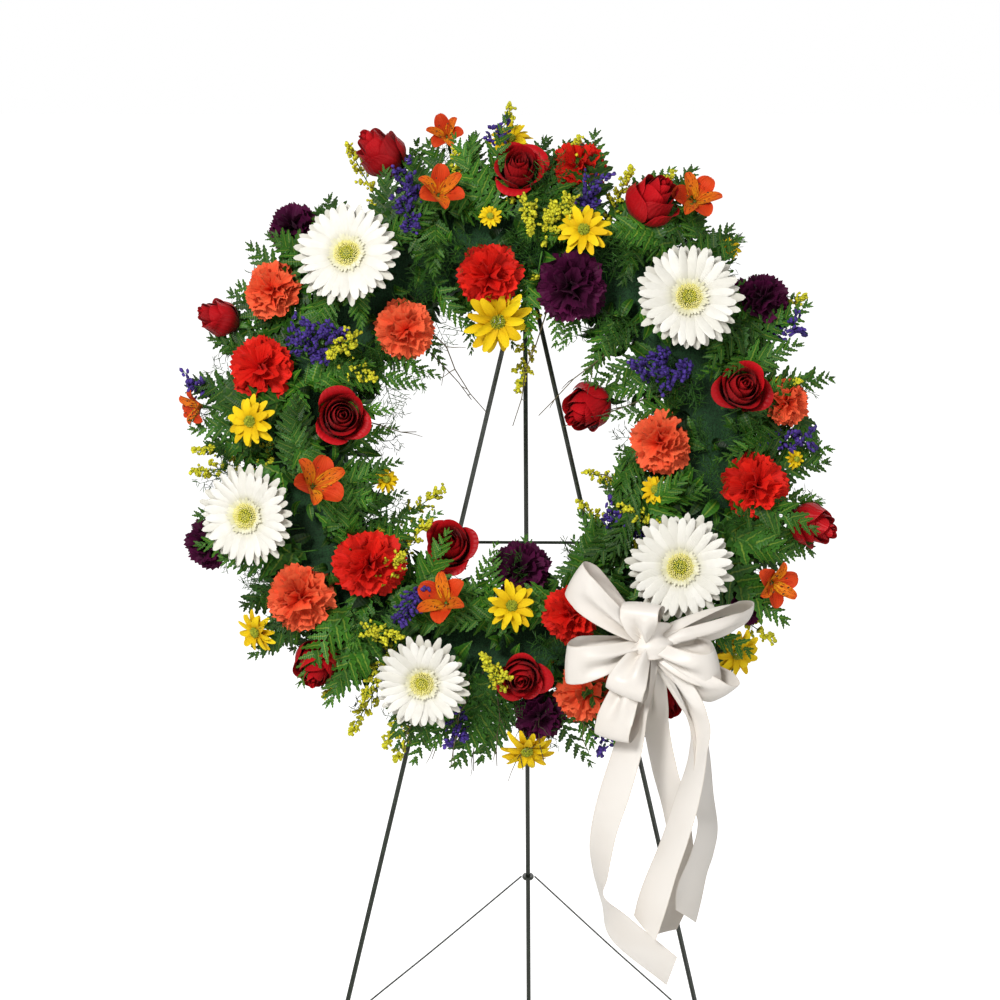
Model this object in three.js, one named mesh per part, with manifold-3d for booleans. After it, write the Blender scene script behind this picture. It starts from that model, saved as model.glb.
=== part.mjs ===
// A round funeral wreath of fresh flowers and fern on a folding three-legged wire easel.
//
// The wreath and the easel's front frame are drawn in the "face" frame: x to the right,
// y up the slant of the front frame, z straight out of the wreath's face, with the origin
// at the ring's centre in the plane of the front legs. One group leans that frame back.
// Millimetres throughout. The whole part stands on z = 0, centred on its own footprint.

import * as THREE from "three";
import { mergeVertices } from "three/addons/utils/BufferGeometryUtils.js";
import Module from "manifold-3d";

const wasm = await Module();
wasm.setup();

// Easel
const LEAN = THREE.MathUtils.degToRad(10);
const FRONT_SLANT = 1067;
const FOOT_SPREAD = 496;
// The easel's middle stands this far right of the wreath's
const EASEL_X = 14;
const WIRE_R = 2.2;
const WIRE_SIDES = 8;
const SLIVER = 0.04;
const APEX_Y = 179;
const LEG_TOP_DROP = 26;
const CROSSBAR_DROP = 269;
const CROSSBAR_R = 1.6;
const REAR_ANGLE = THREE.MathUtils.degToRad(26);
const PIVOT_EYE_R = 5;
const PIVOT_EYE_WIRE = 1.9;
const PIVOT_Z = -5.4;
const HOOK_R = 1.8;
const BRACE_R = 0.9;
const BRACE_EYE_DROP = 717;
const BRACE_EYE_R = 3.4;
const BRACE_EYE_WIRE = 1.2;
const TIE_DROP = 603;
const TIE_R = 4.2;
const TIE_WIRE = 1.6;

// Foam ring and tray
const RING_OUTER = 228.5;
const RING_INNER = 152;
const RING_MID = (RING_OUTER + RING_INNER) / 2;
const TRAY_BACK = WIRE_R + 0.3;
const TRAY_T = 2;
const FOAM_BACK = TRAY_BACK + TRAY_T + 0.3;
const FOAM_FRONT = FOAM_BACK + 50;
const RING_SEGMENTS = 24;

// Flowers and foliage
const GAP = 0.5;
const STEM_R = 2;
const STEM_SIDES = 3;
const STEM_DEPTH_Z = 30;
const FACE_CREST = 112;
const FACE_EDGE = 40;
const FACE_HALF_WIDTH = 125;
const FACE_TILT = THREE.MathUtils.degToRad(48);
const BED_BACK = FOAM_FRONT + 0.3;
const BED_FRONT = FOAM_FRONT + 7;
const BED_OUTER = RING_MID + 24;
const BED_INNER = RING_MID - 24;
const SECTORS = 8;
const BLADE_T = 0.8;
const SPRIG_R = 1.6;
const RIBBON_WIDTH = 36.5;
const RIBBON_T = 0.8;

// Picture coordinates of the bloom centres (a 1000 by 1000 view square to the wreath's face),
// turned to millimetres about the ring's centre.
const VIEW_CENTRE = [507, 443];
const MM_PER_VIEW_UNIT = 0.92;

const COLOURS = {
  wire: [0x26301e, 0.45, 0.5],
  foam: [0x2f5a2c, 0.95, 0],
  tray: [0x1c4a2a, 0.5, 0],
  leaf: [0x1f5220, 0.6, 0],
  gerbera: [0xf4f1e6, 0.6, 0],
  rose: [0xa60f18, 0.55, 0],
  red_carnation: [0xd8160f, 0.7, 0],
  coral_carnation: [0xf2684a, 0.7, 0],
  burgundy_carnation: [0x4a0a35, 0.7, 0],
  ribbon: [0xf1ece6, 0.35, 0],
};

const BLOOMS = [
  { name: "gerbera_upper_left", kind: "gerbera", view: [348, 257], size: 52.5 },
  { name: "gerbera_upper_right", kind: "gerbera", view: [687, 300], size: 52.5 },
  { name: "gerbera_left", kind: "gerbera", view: [248, 518], size: 51 },
  { name: "gerbera_right", kind: "gerbera", view: [679, 567], size: 52.5 },
  { name: "gerbera_bottom", kind: "gerbera", view: [425, 683], size: 47 },
  { name: "rose_top_left", kind: "rose", view: [380, 152], size: 25, aim: [-0.6, 0.65, 0.45] },
  { name: "rose_top", kind: "rose", view: [517, 169], size: 26, aim: [0.1, 0.35, 0.93] },
  { name: "rose_top_right", kind: "rose", view: [648, 202], size: 27, aim: [0.5, 0.55, 0.67] },
  { name: "rose_left_rim", kind: "rose", view: [218, 318], size: 20, aim: [-0.8, 0.3, 0.5] },
  { name: "rose_inner_left", kind: "rose", view: [342, 418], size: 26, aim: [0.15, 0.05, 1] },
  { name: "rose_inner_right", kind: "rose", view: [590, 403], size: 25, aim: [-0.6, -0.5, 0.62] },
  { name: "rose_right", kind: "rose", view: [740, 388], size: 26, aim: [0.2, 0.15, 0.95] },
  { name: "rose_right_rim", kind: "rose", view: [808, 521], size: 24, aim: [0.8, -0.35, 0.48] },
  { name: "rose_inner_bottom", kind: "rose", view: [450, 545], size: 25, aim: [-0.1, 0.3, 0.94] },
  { name: "rose_bottom_left", kind: "rose", view: [320, 660], size: 25, aim: [-0.15, -0.7, 0.7] },
  { name: "rose_bottom", kind: "rose", view: [523, 676], size: 23, aim: [0, -0.3, 0.95] },
  { name: "rose_under_bow", kind: "rose", view: [662, 692], size: 24, aim: [0.25, -0.6, 0.76] },
  { name: "red_carnation_top", kind: "red_carnation", view: [577, 160], size: 29, sink: 12 },
  { name: "red_carnation_inner_top", kind: "red_carnation", view: [489, 279], size: 31 },
  { name: "red_carnation_left", kind: "red_carnation", view: [258, 369], size: 32 },
  { name: "red_carnation_lower_left", kind: "red_carnation", view: [372, 564], size: 34 },
  { name: "red_carnation_right", kind: "red_carnation", view: [757, 486], size: 32 },
  { name: "red_carnation_by_bow", kind: "red_carnation", view: [572, 613], size: 28 },
  { name: "coral_carnation_upper_left", kind: "coral_carnation", view: [268, 288], size: 29 },
  { name: "coral_carnation_inner_left", kind: "coral_carnation", view: [407, 333], size: 29 },
  { name: "coral_carnation_right", kind: "coral_carnation", view: [657, 443], size: 30 },
  { name: "coral_carnation_lower_left", kind: "coral_carnation", view: [300, 600], size: 33 },
  { name: "coral_carnation_by_bow", kind: "coral_carnation", view: [588, 693], size: 30 },
  { name: "coral_carnation_right_rim", kind: "coral_carnation", view: [788, 400], size: 24, sink: 8 },
  { name: "burgundy_carnation_upper_left", kind: "burgundy_carnation", view: [285, 220], size: 27, sink: 18 },
  { name: "burgundy_carnation_top", kind: "burgundy_carnation", view: [570, 289], size: 34 },
  { name: "burgundy_carnation_right", kind: "burgundy_carnation", view: [765, 296], size: 30, sink: 6 },
  { name: "burgundy_carnation_left_rim", kind: "burgundy_carnation", view: [200, 545], size: 26, sink: 16 },
  { name: "burgundy_carnation_inner_bottom", kind: "burgundy_carnation", view: [520, 565], size: 30 },
  { name: "burgundy_carnation_bottom", kind: "burgundy_carnation", view: [542, 717], size: 26, sink: 8 },
  { name: "burgundy_carnation_right_rim", kind: "burgundy_carnation", view: [748, 606], size: 20, sink: 14 },
];

// Small flowers that share a node with the foliage of their sector
const DAISIES = [
  { view: [583, 234], size: 26 },
  { view: [497, 322], size: 34 },
  { view: [253, 424], size: 26 },
  { view: [513, 606], size: 25 },
  { view: [508, 135], size: 23, sink: 20 },
  { view: [528, 750], size: 26, sink: 6 },
  { view: [737, 652], size: 26 },
  { view: [255, 633], size: 23, sink: 8 },
];
const LILIES = [
  { view: [437, 195], size: 23 },
  { view: [443, 128], size: 18, sink: 8 },
  { view: [697, 195], size: 24 },
  { view: [194, 405], size: 18, sink: 8 },
  { view: [316, 489], size: 27 },
  { view: [449, 602], size: 25 },
  { view: [775, 583], size: 22 },
];
const GOLDENROD_TIPS = [
  [342, 138], [452, 148], [507, 98], [577, 134], [630, 166], [672, 168], [545, 222],
  [188, 472], [442, 488], [517, 388], [577, 500], [806, 292], [395, 762], [350, 735],
];
const STATICE_TIPS = [
  [400, 172], [592, 184], [310, 335], [795, 325], [662, 380], [610, 515], [458, 738], [403, 618],
];

// Ferns: how far the tips reach from the ring's centre, and where they stand along a sector
const FERN_OUTER_REACH = 292;
const FERN_INNER_REACH = 94;
const FERN_HALF_WIDTH = 26;
const INNER_FERN_WIDTH = 20;
const FERN_LEAFLETS = 3;
const FERN_SHARES = [0.17, 0.5, 0.83];
const INNER_FERN_SHARES = [0.5];
const FERN_TIP_Z = 26;

// Repeatable draw in 0..1
let seed = 20611;
function draw() {
  seed = (seed * 1664525 + 1013904223) % 4294967296;
  return seed / 4294967296;
}

const vec = (x, y, z) => new THREE.Vector3(x, y, z);

function fromView([px, py]) {
  return [(px - VIEW_CENTRE[0]) * MM_PER_VIEW_UNIT, (VIEW_CENTRE[1] - py) * MM_PER_VIEW_UNIT];
}

// Height of the flowers' rounded front over the ring, at radius r from its centre
function faceHeight(r) {
  const across = THREE.MathUtils.clamp((r - RING_MID) / FACE_HALF_WIDTH, -1, 1);
  return FACE_EDGE + (FACE_CREST - FACE_EDGE) * Math.cos((across * Math.PI) / 2);
}

// Direction a flower looks in: outward near the rim, inward near the hole
function faceNormal(x, y) {
  const r = Math.hypot(x, y);
  const tilt = (FACE_TILT * (r - RING_MID)) / FACE_HALF_WIDTH;
  return vec((x / r) * Math.sin(tilt), (y / r) * Math.sin(tilt), Math.cos(tilt));
}

// A frame at a point with x along one direction and z near another
function frameAlong(origin, along, up) {
  const u = along.clone().normalize();
  const n = up.clone().addScaledVector(u, -up.dot(u)).normalize();
  return new THREE.Matrix4().makeBasis(u, n.clone().cross(u), n).setPosition(origin);
}

// A frame at a point with z along the given direction
function frameFacing(origin, facing) {
  const n = facing.clone().normalize();
  const side = Math.abs(n.y) < 0.9 ? vec(0, 1, 0) : vec(1, 0, 0);
  const u = side.cross(n).normalize();
  return new THREE.Matrix4().makeBasis(u, n.clone().cross(u), n).setPosition(origin);
}

// A closed triangle mesh as a solid, with flat slivers dropped and its faces turned outwards
function solidOf(geometry) {
  const bare = new THREE.BufferGeometry().setAttribute("position", geometry.getAttribute("position"));
  if (geometry.index) bare.setIndex(geometry.index);
  const merged = mergeVertices(bare, 1e-4);
  const p = merged.attributes.position;
  const index = merged.index.array;
  const triangles = [];
  let volume = 0;
  const [a, b, c] = [vec(0, 0, 0), vec(0, 0, 0), vec(0, 0, 0)];
  for (let i = 0; i < index.length; i += 3) {
    const [i0, i1, i2] = [index[i], index[i + 1], index[i + 2]];
    if (i0 === i1 || i1 === i2 || i0 === i2) continue;
    triangles.push(i0, i1, i2);
    a.fromBufferAttribute(p, i0);
    b.fromBufferAttribute(p, i1);
    c.fromBufferAttribute(p, i2);
    volume += a.dot(b.cross(c));
  }
  if (volume < 0) triangles.reverse();
  const mesh = new wasm.Mesh({
    numProp: 3,
    vertProperties: new Float32Array(p.array),
    triVerts: new Uint32Array(triangles),
  });
  return new wasm.Manifold(mesh);
}

function placed(solid, matrix) {
  return solid.transform(Array.from(matrix.elements));
}

function fuse(solids) {
  return solids.reduce((whole, piece) => whole.add(piece));
}

function largestBody(solid) {
  const bodies = solid.decompose();
  return bodies.reduce((best, body) => (body.volume() > best.volume() ? body : best));
}

function trimmed(solid, cutters) {
  return cutters.reduce((rest, cutter) => rest.subtract(cutter), solid);
}

// Straight round or faceted rod between two points
function rod(from, to, startR, endR = startR, sides = WIRE_SIDES) {
  const span = to.clone().sub(from);
  const geometry = new THREE.CylinderGeometry(endR, startR, span.length(), sides);
  geometry.translate(0, span.length() / 2, 0);
  geometry.applyQuaternion(new THREE.Quaternion().setFromUnitVectors(vec(0, 1, 0), span.normalize()));
  geometry.translate(from.x, from.y, from.z);
  return solidOf(geometry);
}

// Bent wire of round section along a smooth path
function bentWire(points, radius, steps, sides = WIRE_SIDES) {
  const section = new THREE.Shape();
  section.absarc(0, 0, radius, 0, Math.PI * 2);
  const outline = new THREE.Shape(section.getSpacedPoints(sides).slice(0, sides));
  const path = new THREE.CatmullRomCurve3(points, false, "centripetal");
  return solidOf(new THREE.ExtrudeGeometry(outline, { steps, extrudePath: path }));
}

// Turned solid about z; the profile is a list of [radius, height]
function turned(profile, sides) {
  const points = profile.map(([r, z]) => new THREE.Vector2(r, z));
  return solidOf(new THREE.LatheGeometry(points, sides).rotateX(Math.PI / 2));
}

// Wire eye whose hole runs along x
function eye(centre, radius, wire) {
  const geometry = new THREE.TorusGeometry(radius, wire, 5, 8).rotateY(Math.PI / 2);
  return solidOf(geometry.translate(centre.x, centre.y, centre.z));
}

// Thin blade: an outline of [along, across] points, lifted by rise(along, across) and given
// its thickness straight up, so both faces bend alike
function blade(outline, rise, thickness = BLADE_T) {
  const contour = outline.map(([u, v]) => new THREE.Vector2(u, v));
  const faces = THREE.ShapeUtils.triangulateShape(contour, []);
  const count = outline.length;
  const positions = [];
  for (const lift of [thickness / 2, -thickness / 2]) {
    for (const [u, v] of outline) positions.push(u, v, rise(u, v) + lift);
  }
  const index = [];
  for (const [a, b, c] of faces) index.push(a, b, c, count + c, count + b, count + a);
  const forward = THREE.ShapeUtils.isClockWise(contour) ? 0 : 1;
  for (let i = 0; i < count; i += 1) {
    const [a, b] = forward ? [i, (i + 1) % count] : [(i + 1) % count, i];
    index.push(a, count + a, count + b, a, count + b, b);
  }
  const geometry = new THREE.BufferGeometry();
  geometry.setAttribute("position", new THREE.Float32BufferAttribute(positions, 3));
  geometry.setIndex(index);
  return solidOf(geometry);
}

// Ribbon strip through stations of { at, half }, where half is the half-width vector
function ribbonStrip(stations, grow = 0) {
  const positions = [];
  stations.forEach(({ at, half }, i) => {
    const before = stations[Math.max(i - 1, 0)].at;
    const after = stations[Math.min(i + 1, stations.length - 1)].at;
    const normal = after.clone().sub(before).cross(half).normalize();
    const reach = half.clone().setLength(half.length() + grow);
    const lift = normal.multiplyScalar(RIBBON_T / 2 + grow);
    for (const [side, face] of [[1, 1], [-1, 1], [-1, -1], [1, -1]]) {
      positions.push(...at.clone().addScaledVector(reach, side).addScaledVector(lift, face).toArray());
    }
  });
  const index = [0, 2, 1, 0, 3, 2];
  const last = 4 * (stations.length - 1);
  index.push(last, last + 1, last + 2, last, last + 2, last + 3);
  for (let ring = 0; ring < last; ring += 4) {
    for (let side = 0; side < 4; side += 1) {
      const a = ring + side;
      const b = ring + ((side + 1) % 4);
      // Front and back split along one diagonal, so that a twisted strip keeps its thickness
      if (side < 2) index.push(a, b, b + 4, a, b + 4, a + 4);
      else index.push(a, b, a + 4, b, b + 4, a + 4);
    }
  }
  const geometry = new THREE.BufferGeometry();
  geometry.setAttribute("position", new THREE.Float32BufferAttribute(positions, 3));
  geometry.setIndex(index);
  return solidOf(geometry);
}

// Head of strap petals as one closed skin: each whorl of { z, r, rise, turn } stands on a ring
// of notches, and rings of [radius, height] close it over the top
function whorledHead(petals, notchR, bottomZ, whorls, cap, topZ) {
  const step = (2 * Math.PI) / petals;
  const positions = [0, 0, bottomZ];
  const index = [];
  const ring = (radius, z, turn) => {
    const first = positions.length / 3;
    for (let i = 0; i < petals; i += 1) {
      const angle = (i + turn) * step;
      positions.push(Math.cos(angle) * radius, Math.sin(angle) * radius, z);
    }
    return (i) => first + (i % petals);
  };
  const wall = (low, high) => {
    for (let i = 0; i < petals; i += 1) {
      index.push(low(i), low(i + 1), high(i + 1), low(i), high(i + 1), high(i));
    }
  };
  let below = null;
  for (const { z, r, rise, turn } of whorls) {
    const [under, over] = [ring(notchR, z, turn), ring(notchR, z + BLADE_T, turn)];
    const corners = [[0.2, 0], [0.8, 0], [0.2, BLADE_T], [0.8, BLADE_T]];
    const tips = corners.map(([offset, lift]) => ring(r, z + rise + lift, turn + offset));
    if (below) wall(below, under);
    for (let i = 0; i < petals; i += 1) {
      const [b0, b1, t0, t1] = [under(i), under(i + 1), over(i), over(i + 1)];
      const [bl, br, tl, tr] = tips.map((tip) => tip(i));
      if (!below) index.push(0, b1, b0);
      index.push(b0, br, bl, b0, b1, br, t0, tl, tr, t0, tr, t1);
      index.push(b0, bl, tl, b0, tl, t0, bl, br, tr, bl, tr, tl, br, b1, t1, br, t1, tr);
    }
    below = over;
  }
  for (const [radius, z] of cap) {
    const next = ring(radius, z, whorls.at(-1).turn);
    wall(below, next);
    below = next;
  }
  const top = positions.length / 3;
  positions.push(0, 0, topZ);
  for (let i = 0; i < petals; i += 1) index.push(below(i), below(i + 1), top);
  const geometry = new THREE.BufferGeometry();
  geometry.setAttribute("position", new THREE.Float32BufferAttribute(positions, 3));
  geometry.setIndex(index);
  return solidOf(geometry);
}

// Closed head turned about z whose rings swing in and out: rows of [radius, height, swing],
// and the swing alternates round each ring and from ring to ring
function ruffledHead(columns, bottomZ, rows, topZ) {
  const positions = [0, 0, bottomZ];
  rows.forEach(([radius, height, swing], row) => {
    for (let i = 0; i < columns; i += 1) {
      const sign = (i + row) % 2 ? 1 : -1;
      const angle = ((i + 0.25 * row) * 2 * Math.PI) / columns;
      const r = radius * (1 + sign * swing);
      positions.push(Math.cos(angle) * r, Math.sin(angle) * r, height + sign * swing * 0.5 * radius);
    }
  });
  positions.push(0, 0, topZ);
  const at = (row, i) => 1 + row * columns + (i % columns);
  const top = 1 + rows.length * columns;
  const index = [];
  for (let i = 0; i < columns; i += 1) {
    index.push(0, at(0, i + 1), at(0, i));
    for (let row = 0; row + 1 < rows.length; row += 1) {
      index.push(at(row, i), at(row, i + 1), at(row + 1, i + 1));
      index.push(at(row, i), at(row + 1, i + 1), at(row + 1, i));
    }
    index.push(top, at(rows.length - 1, i), at(rows.length - 1, i + 1));
  }
  const geometry = new THREE.BufferGeometry();
  geometry.setAttribute("position", new THREE.Float32BufferAttribute(positions, 3));
  geometry.setIndex(index);
  return solidOf(geometry);
}

// Gerbera head: two whorls of strap petals round a domed disc, facing +z from its back
const GERBERA_PETALS = 11;
function gerberaHead(r) {
  const whorls = [
    { z: 3, r: 0.97 * r, rise: 1, turn: 0 },
    { z: 6, r, rise: 2, turn: 0.5 },
  ];
  return whorledHead(GERBERA_PETALS, 0.26 * r, -2, whorls, [[0.2 * r, 9.5]], 9);
}
const gerberaGuard = (r) => turned([[0, -3], [8, -3], [1.08 * r, 2], [1.08 * r, 12], [0, 12]], 9);

// Rose bud: scalloped cups of petals, one inside the other, opening along +z
function roseHead(r) {
  const h = 1.75 * r;
  return ruffledHead(8, 0, [
    [0.3 * r, 0.04 * h, 0], [0.86 * r, 0.42 * h, 0.06], [0.95 * r, 0.8 * h, 0.09], [0.7 * r, 0.62 * h, 0.04],
    [0.62 * r, 0.97 * h, 0.1], [0.38 * r, 0.74 * h, 0.05], [0.24 * r, h, 0.15],
  ], 0.85 * h);
}
const roseGuard = (r) => turned([
  [0, -1], [0.42 * r, -1], [1.18 * r, 0.6 * r], [1.18 * r, 1.5 * r], [0.85 * r, 1.9 * r], [0, 1.9 * r],
], 7);

// Carnation head: three ruffled tiers of fringed petals over a calyx
function carnationHead(r) {
  const h = 1.3 * r;
  return ruffledHead(10, 0, [
    [0.24 * r, 0.28 * h, 0], [0.9 * r, 0.5 * h, 0.11], [0.36 * r, 0.52 * h, 0], [0.76 * r, 0.8 * h, 0.12],
    [0.26 * r, 0.76 * h, 0], [0.46 * r, h, 0.2],
  ], 0.86 * h);
}
const carnationGuard = (r) => turned([
  [0, -1], [0.35 * r, -1], [1.1 * r, 0.45 * r], [1.1 * r, 0.85 * r], [0.65 * r, 1.48 * r], [0, 1.48 * r],
], 7);

// Daisy: one whorl of blunt petals round a button
const daisyHead = (r) => whorledHead(9, 0.27 * r, -2, [{ z: 0, r, rise: 2, turn: 0 }], [[0.2 * r, 4]], 4.5);

// Lily-of-the-Incas: six petals that open like a trumpet
const lilyHead = (r) => whorledHead(6, 0.2 * r, -7, [{ z: 0, r, rise: 0.32 * r, turn: 0 }], [], 1);

// Fern frond: leaflets cut to the rib in one arched outline, from root to tip
function fernFrond(root, tip, halfWidth) {
  const span = tip.clone().sub(root);
  const length = span.length();
  const right = [];
  const left = [];
  for (let i = 0; i < FERN_LEAFLETS; i += 1) {
    const u = length * (0.2 + (0.72 * i) / FERN_LEAFLETS);
    const half = halfWidth * (1 - 0.62 * (i / FERN_LEAFLETS));
    right.push([u, -2.2], [u + length * 0.13, -half]);
    left.push([u, 2.2], [u + length * 0.13, half]);
  }
  const outline = [[0, -2.4], ...right, [length, 0], ...left.reverse(), [0, 2.4]];
  const arch = 0.1 * length;
  const frond = blade(outline, (u, v) => arch * Math.sin((Math.PI * u) / length) - 0.12 * Math.abs(v));
  return placed(frond, frameAlong(root, span, vec(0, 0, 1)));
}

// Spray of buds on a thin stem: the buds stand out of a slim spindle along its outer part
function budSpray(root, tip, { rows, fat, share }) {
  const start = tip.clone().lerp(root, share);
  const length = start.distanceTo(tip);
  const rings = [];
  for (let i = 1; i <= rows; i += 1) {
    const t = i / (rows + 1);
    rings.push([fat * (1.2 - 0.75 * t), length * t, i % 2 ? 0.45 : 0.3]);
  }
  const spindle = ruffledHead(4, 0, rings, length);
  const spray = placed(spindle, frameFacing(start, tip.clone().sub(start)));
  return spray.add(rod(root, start.lerp(tip, 0.15), 1.2, 1.2, 3));
}
const GOLDENROD = { rows: 5, fat: 6.5, share: 0.6 };
const STATICE = { rows: 3, fat: 12, share: 0.45 };

// Point of the moss bed that a sprig at (x, y) grows from
function bedPoint(x, y) {
  const r = Math.hypot(x, y);
  const at = THREE.MathUtils.clamp(r, BED_INNER + 5, BED_OUTER - 5) / r;
  return vec(x * at, y * at, BED_FRONT - 3);
}

const HEADS = {
  gerbera: { head: gerberaHead, guard: gerberaGuard, depth: () => 11 },
  rose: { head: roseHead, guard: roseGuard, depth: (r) => 1.75 * r },
  red_carnation: { head: carnationHead, guard: carnationGuard, depth: (r) => 1.3 * r },
  coral_carnation: { head: carnationHead, guard: carnationGuard, depth: (r) => 1.3 * r },
  burgundy_carnation: { head: carnationHead, guard: carnationGuard, depth: (r) => 1.3 * r },
};

// A bloom in its place, with its stem reaching into the foam: the solid, the room that its
// neighbours leave it, and the hole of its stem
function plantBloom({ kind, view, size, sink = 0, aim }) {
  const { head, guard, depth } = HEADS[kind];
  const [x, y] = fromView(view);
  const r = Math.hypot(x, y);
  const facing = aim ? vec(...aim).normalize() : faceNormal(x, y);
  const middle = vec(x, y, faceHeight(r) - sink - depth(size) / 2);
  const base = middle.addScaledVector(facing, -depth(size) / 2);
  const inFoam = THREE.MathUtils.clamp(r, RING_INNER + 18, RING_OUTER - 18) / r;
  const foot = vec(x * inFoam, y * inFoam, STEM_DEPTH_Z);
  const frame = frameFacing(base, facing);
  const top = base.clone().addScaledVector(facing, 4);
  const beyond = foot.clone().add(foot.clone().sub(top).setLength(GAP));
  const stemRoom = rod(top, beyond, STEM_R + 2 * GAP, STEM_R + 2 * GAP, STEM_SIDES);
  return {
    solid: placed(head(size), frame).add(rod(top, foot, STEM_R, STEM_R, STEM_SIDES)),
    guard: placed(guard(size), frame).add(stemRoom),
    stemRoom,
  };
}

// Bow: loops and tails of satin ribbon, tied at a knot in front of the flowers
const KNOT_VIEW = [650, 640];
const KNOT_Z = 124;
const KNOT_R = 13;
const LOOP_STEPS = 6;
const LOOPS = [
  { tip: [575, 578], rise: 8, broad: [0.45, 0.75, 0.5], swell: 15 },
  { tip: [568, 662], rise: 4, broad: [0.05, 0.93, 0.35], swell: 17 },
  { tip: [640, 606], rise: 22, broad: [0.9, -0.1, 0.35], swell: 13 },
  { tip: [742, 612], rise: 2, broad: [0.1, 0.55, 0.85], swell: 12 },
  { tip: [712, 672], rise: 14, broad: [-0.25, 0.8, 0.55], swell: 17 },
  { tip: [716, 700], rise: 0, broad: [0.65, 0.35, 0.65], swell: 12 },
  { tip: [640, 690], rise: 16, broad: [0.9, 0.3, 0.3], swell: 13 },
  { tip: [617, 735], rise: 0, broad: [0.86, -0.1, 0.5], swell: 11 },
];

// One loop of ribbon out of the knot and back: it swells on both sides of the line to its tip
function loopStations({ tip, rise, broad, swell }) {
  const knot = vec(...fromView(KNOT_VIEW), KNOT_Z);
  const end = vec(...fromView(tip), KNOT_Z + rise);
  const out = end.clone().sub(knot);
  const across = vec(...broad).normalize();
  const puff = out.clone().cross(across).normalize().multiplyScalar(swell);
  const stations = [];
  for (let i = 0; i <= LOOP_STEPS; i += 1) {
    const turn = (2 * Math.PI * i) / LOOP_STEPS;
    const reach = 0.1 + 0.9 * (0.5 - 0.5 * Math.cos(turn));
    const endShift = (i === 0 ? 0.12 : 0) - (i === LOOP_STEPS ? 0.12 : 0);
    const side = Math.sin(turn) * (0.55 + 0.45 * reach) + endShift;
    const pinch = 0.1 + 0.9 * Math.min(1, 1.15 * reach) ** 1.3;
    stations.push({
      at: knot.clone().addScaledVector(out, reach).addScaledVector(puff, side),
      half: across.clone().multiplyScalar((RIBBON_WIDTH / 2) * pinch),
    });
  }
  return stations;
}

function bowKnot(grow) {
  const shape = new THREE.Matrix4().makeScale(1, 1, 0.8).setPosition(...fromView(KNOT_VIEW), KNOT_Z);
  return placed(solidOf(new THREE.IcosahedronGeometry(KNOT_R + grow, 0)), shape);
}

// Pick that holds the bow: from the knot into the foam, with its hole
function bowPick() {
  const [x, y] = fromView(KNOT_VIEW);
  const inFoam = (RING_OUTER - 20) / Math.hypot(x, y);
  const [top, foot] = [vec(x, y, KNOT_Z), vec(x * inFoam, y * inFoam, STEM_DEPTH_Z)];
  const beyond = foot.clone().add(foot.clone().sub(top).setLength(GAP));
  return {
    solid: rod(top, foot, STEM_R, STEM_R, STEM_SIDES),
    room: rod(top, beyond, STEM_R + 2 * GAP, STEM_R + 2 * GAP, STEM_SIDES),
  };
}

// Tails: left and right edges down the picture, hanging plumb from below the knot
const TAIL_PLUMB = Math.tan(LEAN);
const TAILS = [
  {
    name: "bow_tail_left", topZ: 114, turn: 1,
    edges: [
      [[627, 706], [648, 706]], [[613, 748], [642, 748]], [[598, 797], [630, 793]], [[591, 837], [617, 832]],
      [[594, 868], [609, 872]], [[603, 900], [606, 892]], [[614, 938], [632, 914]], [[668, 982], [678, 952]],
    ],
  },
  {
    name: "bow_tail_centre", topZ: 120, turn: 1,
    edges: [
      [[684, 711], [705, 711]], [[688, 751], [705, 751]], [[672, 803], [698, 797]], [[661, 837], [687, 837]],
      [[646, 874], [675, 874]], [[635, 912], [656, 935]],
    ],
  },
  {
    name: "bow_tail_right", topZ: 104, turn: -1,
    edges: [
      [[688, 722], [703, 722]], [[692, 794], [714, 794]], [[697, 820], [718, 826]], [[690, 850], [714, 851]],
      [[678, 880], [707, 874]], [[676, 905], [697, 920]],
    ],
  },
  {
    name: "bow_tail_back", topZ: 88, turn: 1,
    edges: [
      [[643, 716], [668, 716]], [[652, 765], [677, 765]], [[664, 810], [688, 805]], [[672, 860], [694, 852]],
      [[665, 905], [690, 896]], [[656, 935], [678, 926]],
    ],
  },
];

function tailStations({ topZ, turn, edges }) {
  const top = fromView(edges[0][0])[1];
  const knotEnd = { at: vec(...fromView(KNOT_VIEW), KNOT_Z - 3), half: vec(5, 0, turn * 3) };
  const hanging = edges.map(([leftEdge, rightEdge]) => {
    const left = vec(...fromView(leftEdge), 0);
    const right = vec(...fromView(rightEdge), 0);
    const half = right.clone().sub(left).multiplyScalar(0.5);
    const flat = Math.min(half.length(), RIBBON_WIDTH / 2);
    half.z = turn * Math.sqrt(RIBBON_WIDTH ** 2 / 4 - flat ** 2);
    const at = left.add(right).multiplyScalar(0.5);
    at.z = topZ - (top - at.y) * TAIL_PLUMB;
    return { at, half };
  });
  return [knotEnd, ...hanging];
}

// Foliage of one sector: a low bed on the foam with fronds, sprays and small flowers in it
const SECTOR_ANGLE = (2 * Math.PI) / SECTORS;
function polar(angle, r, z) {
  return vec(Math.cos(angle) * r, Math.sin(angle) * r, z);
}

function inSector(index, x, y) {
  const angle = (Math.atan2(y, x) + 2 * Math.PI) % (2 * Math.PI);
  return Math.floor(angle / SECTOR_ANGLE) === index;
}

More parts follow.
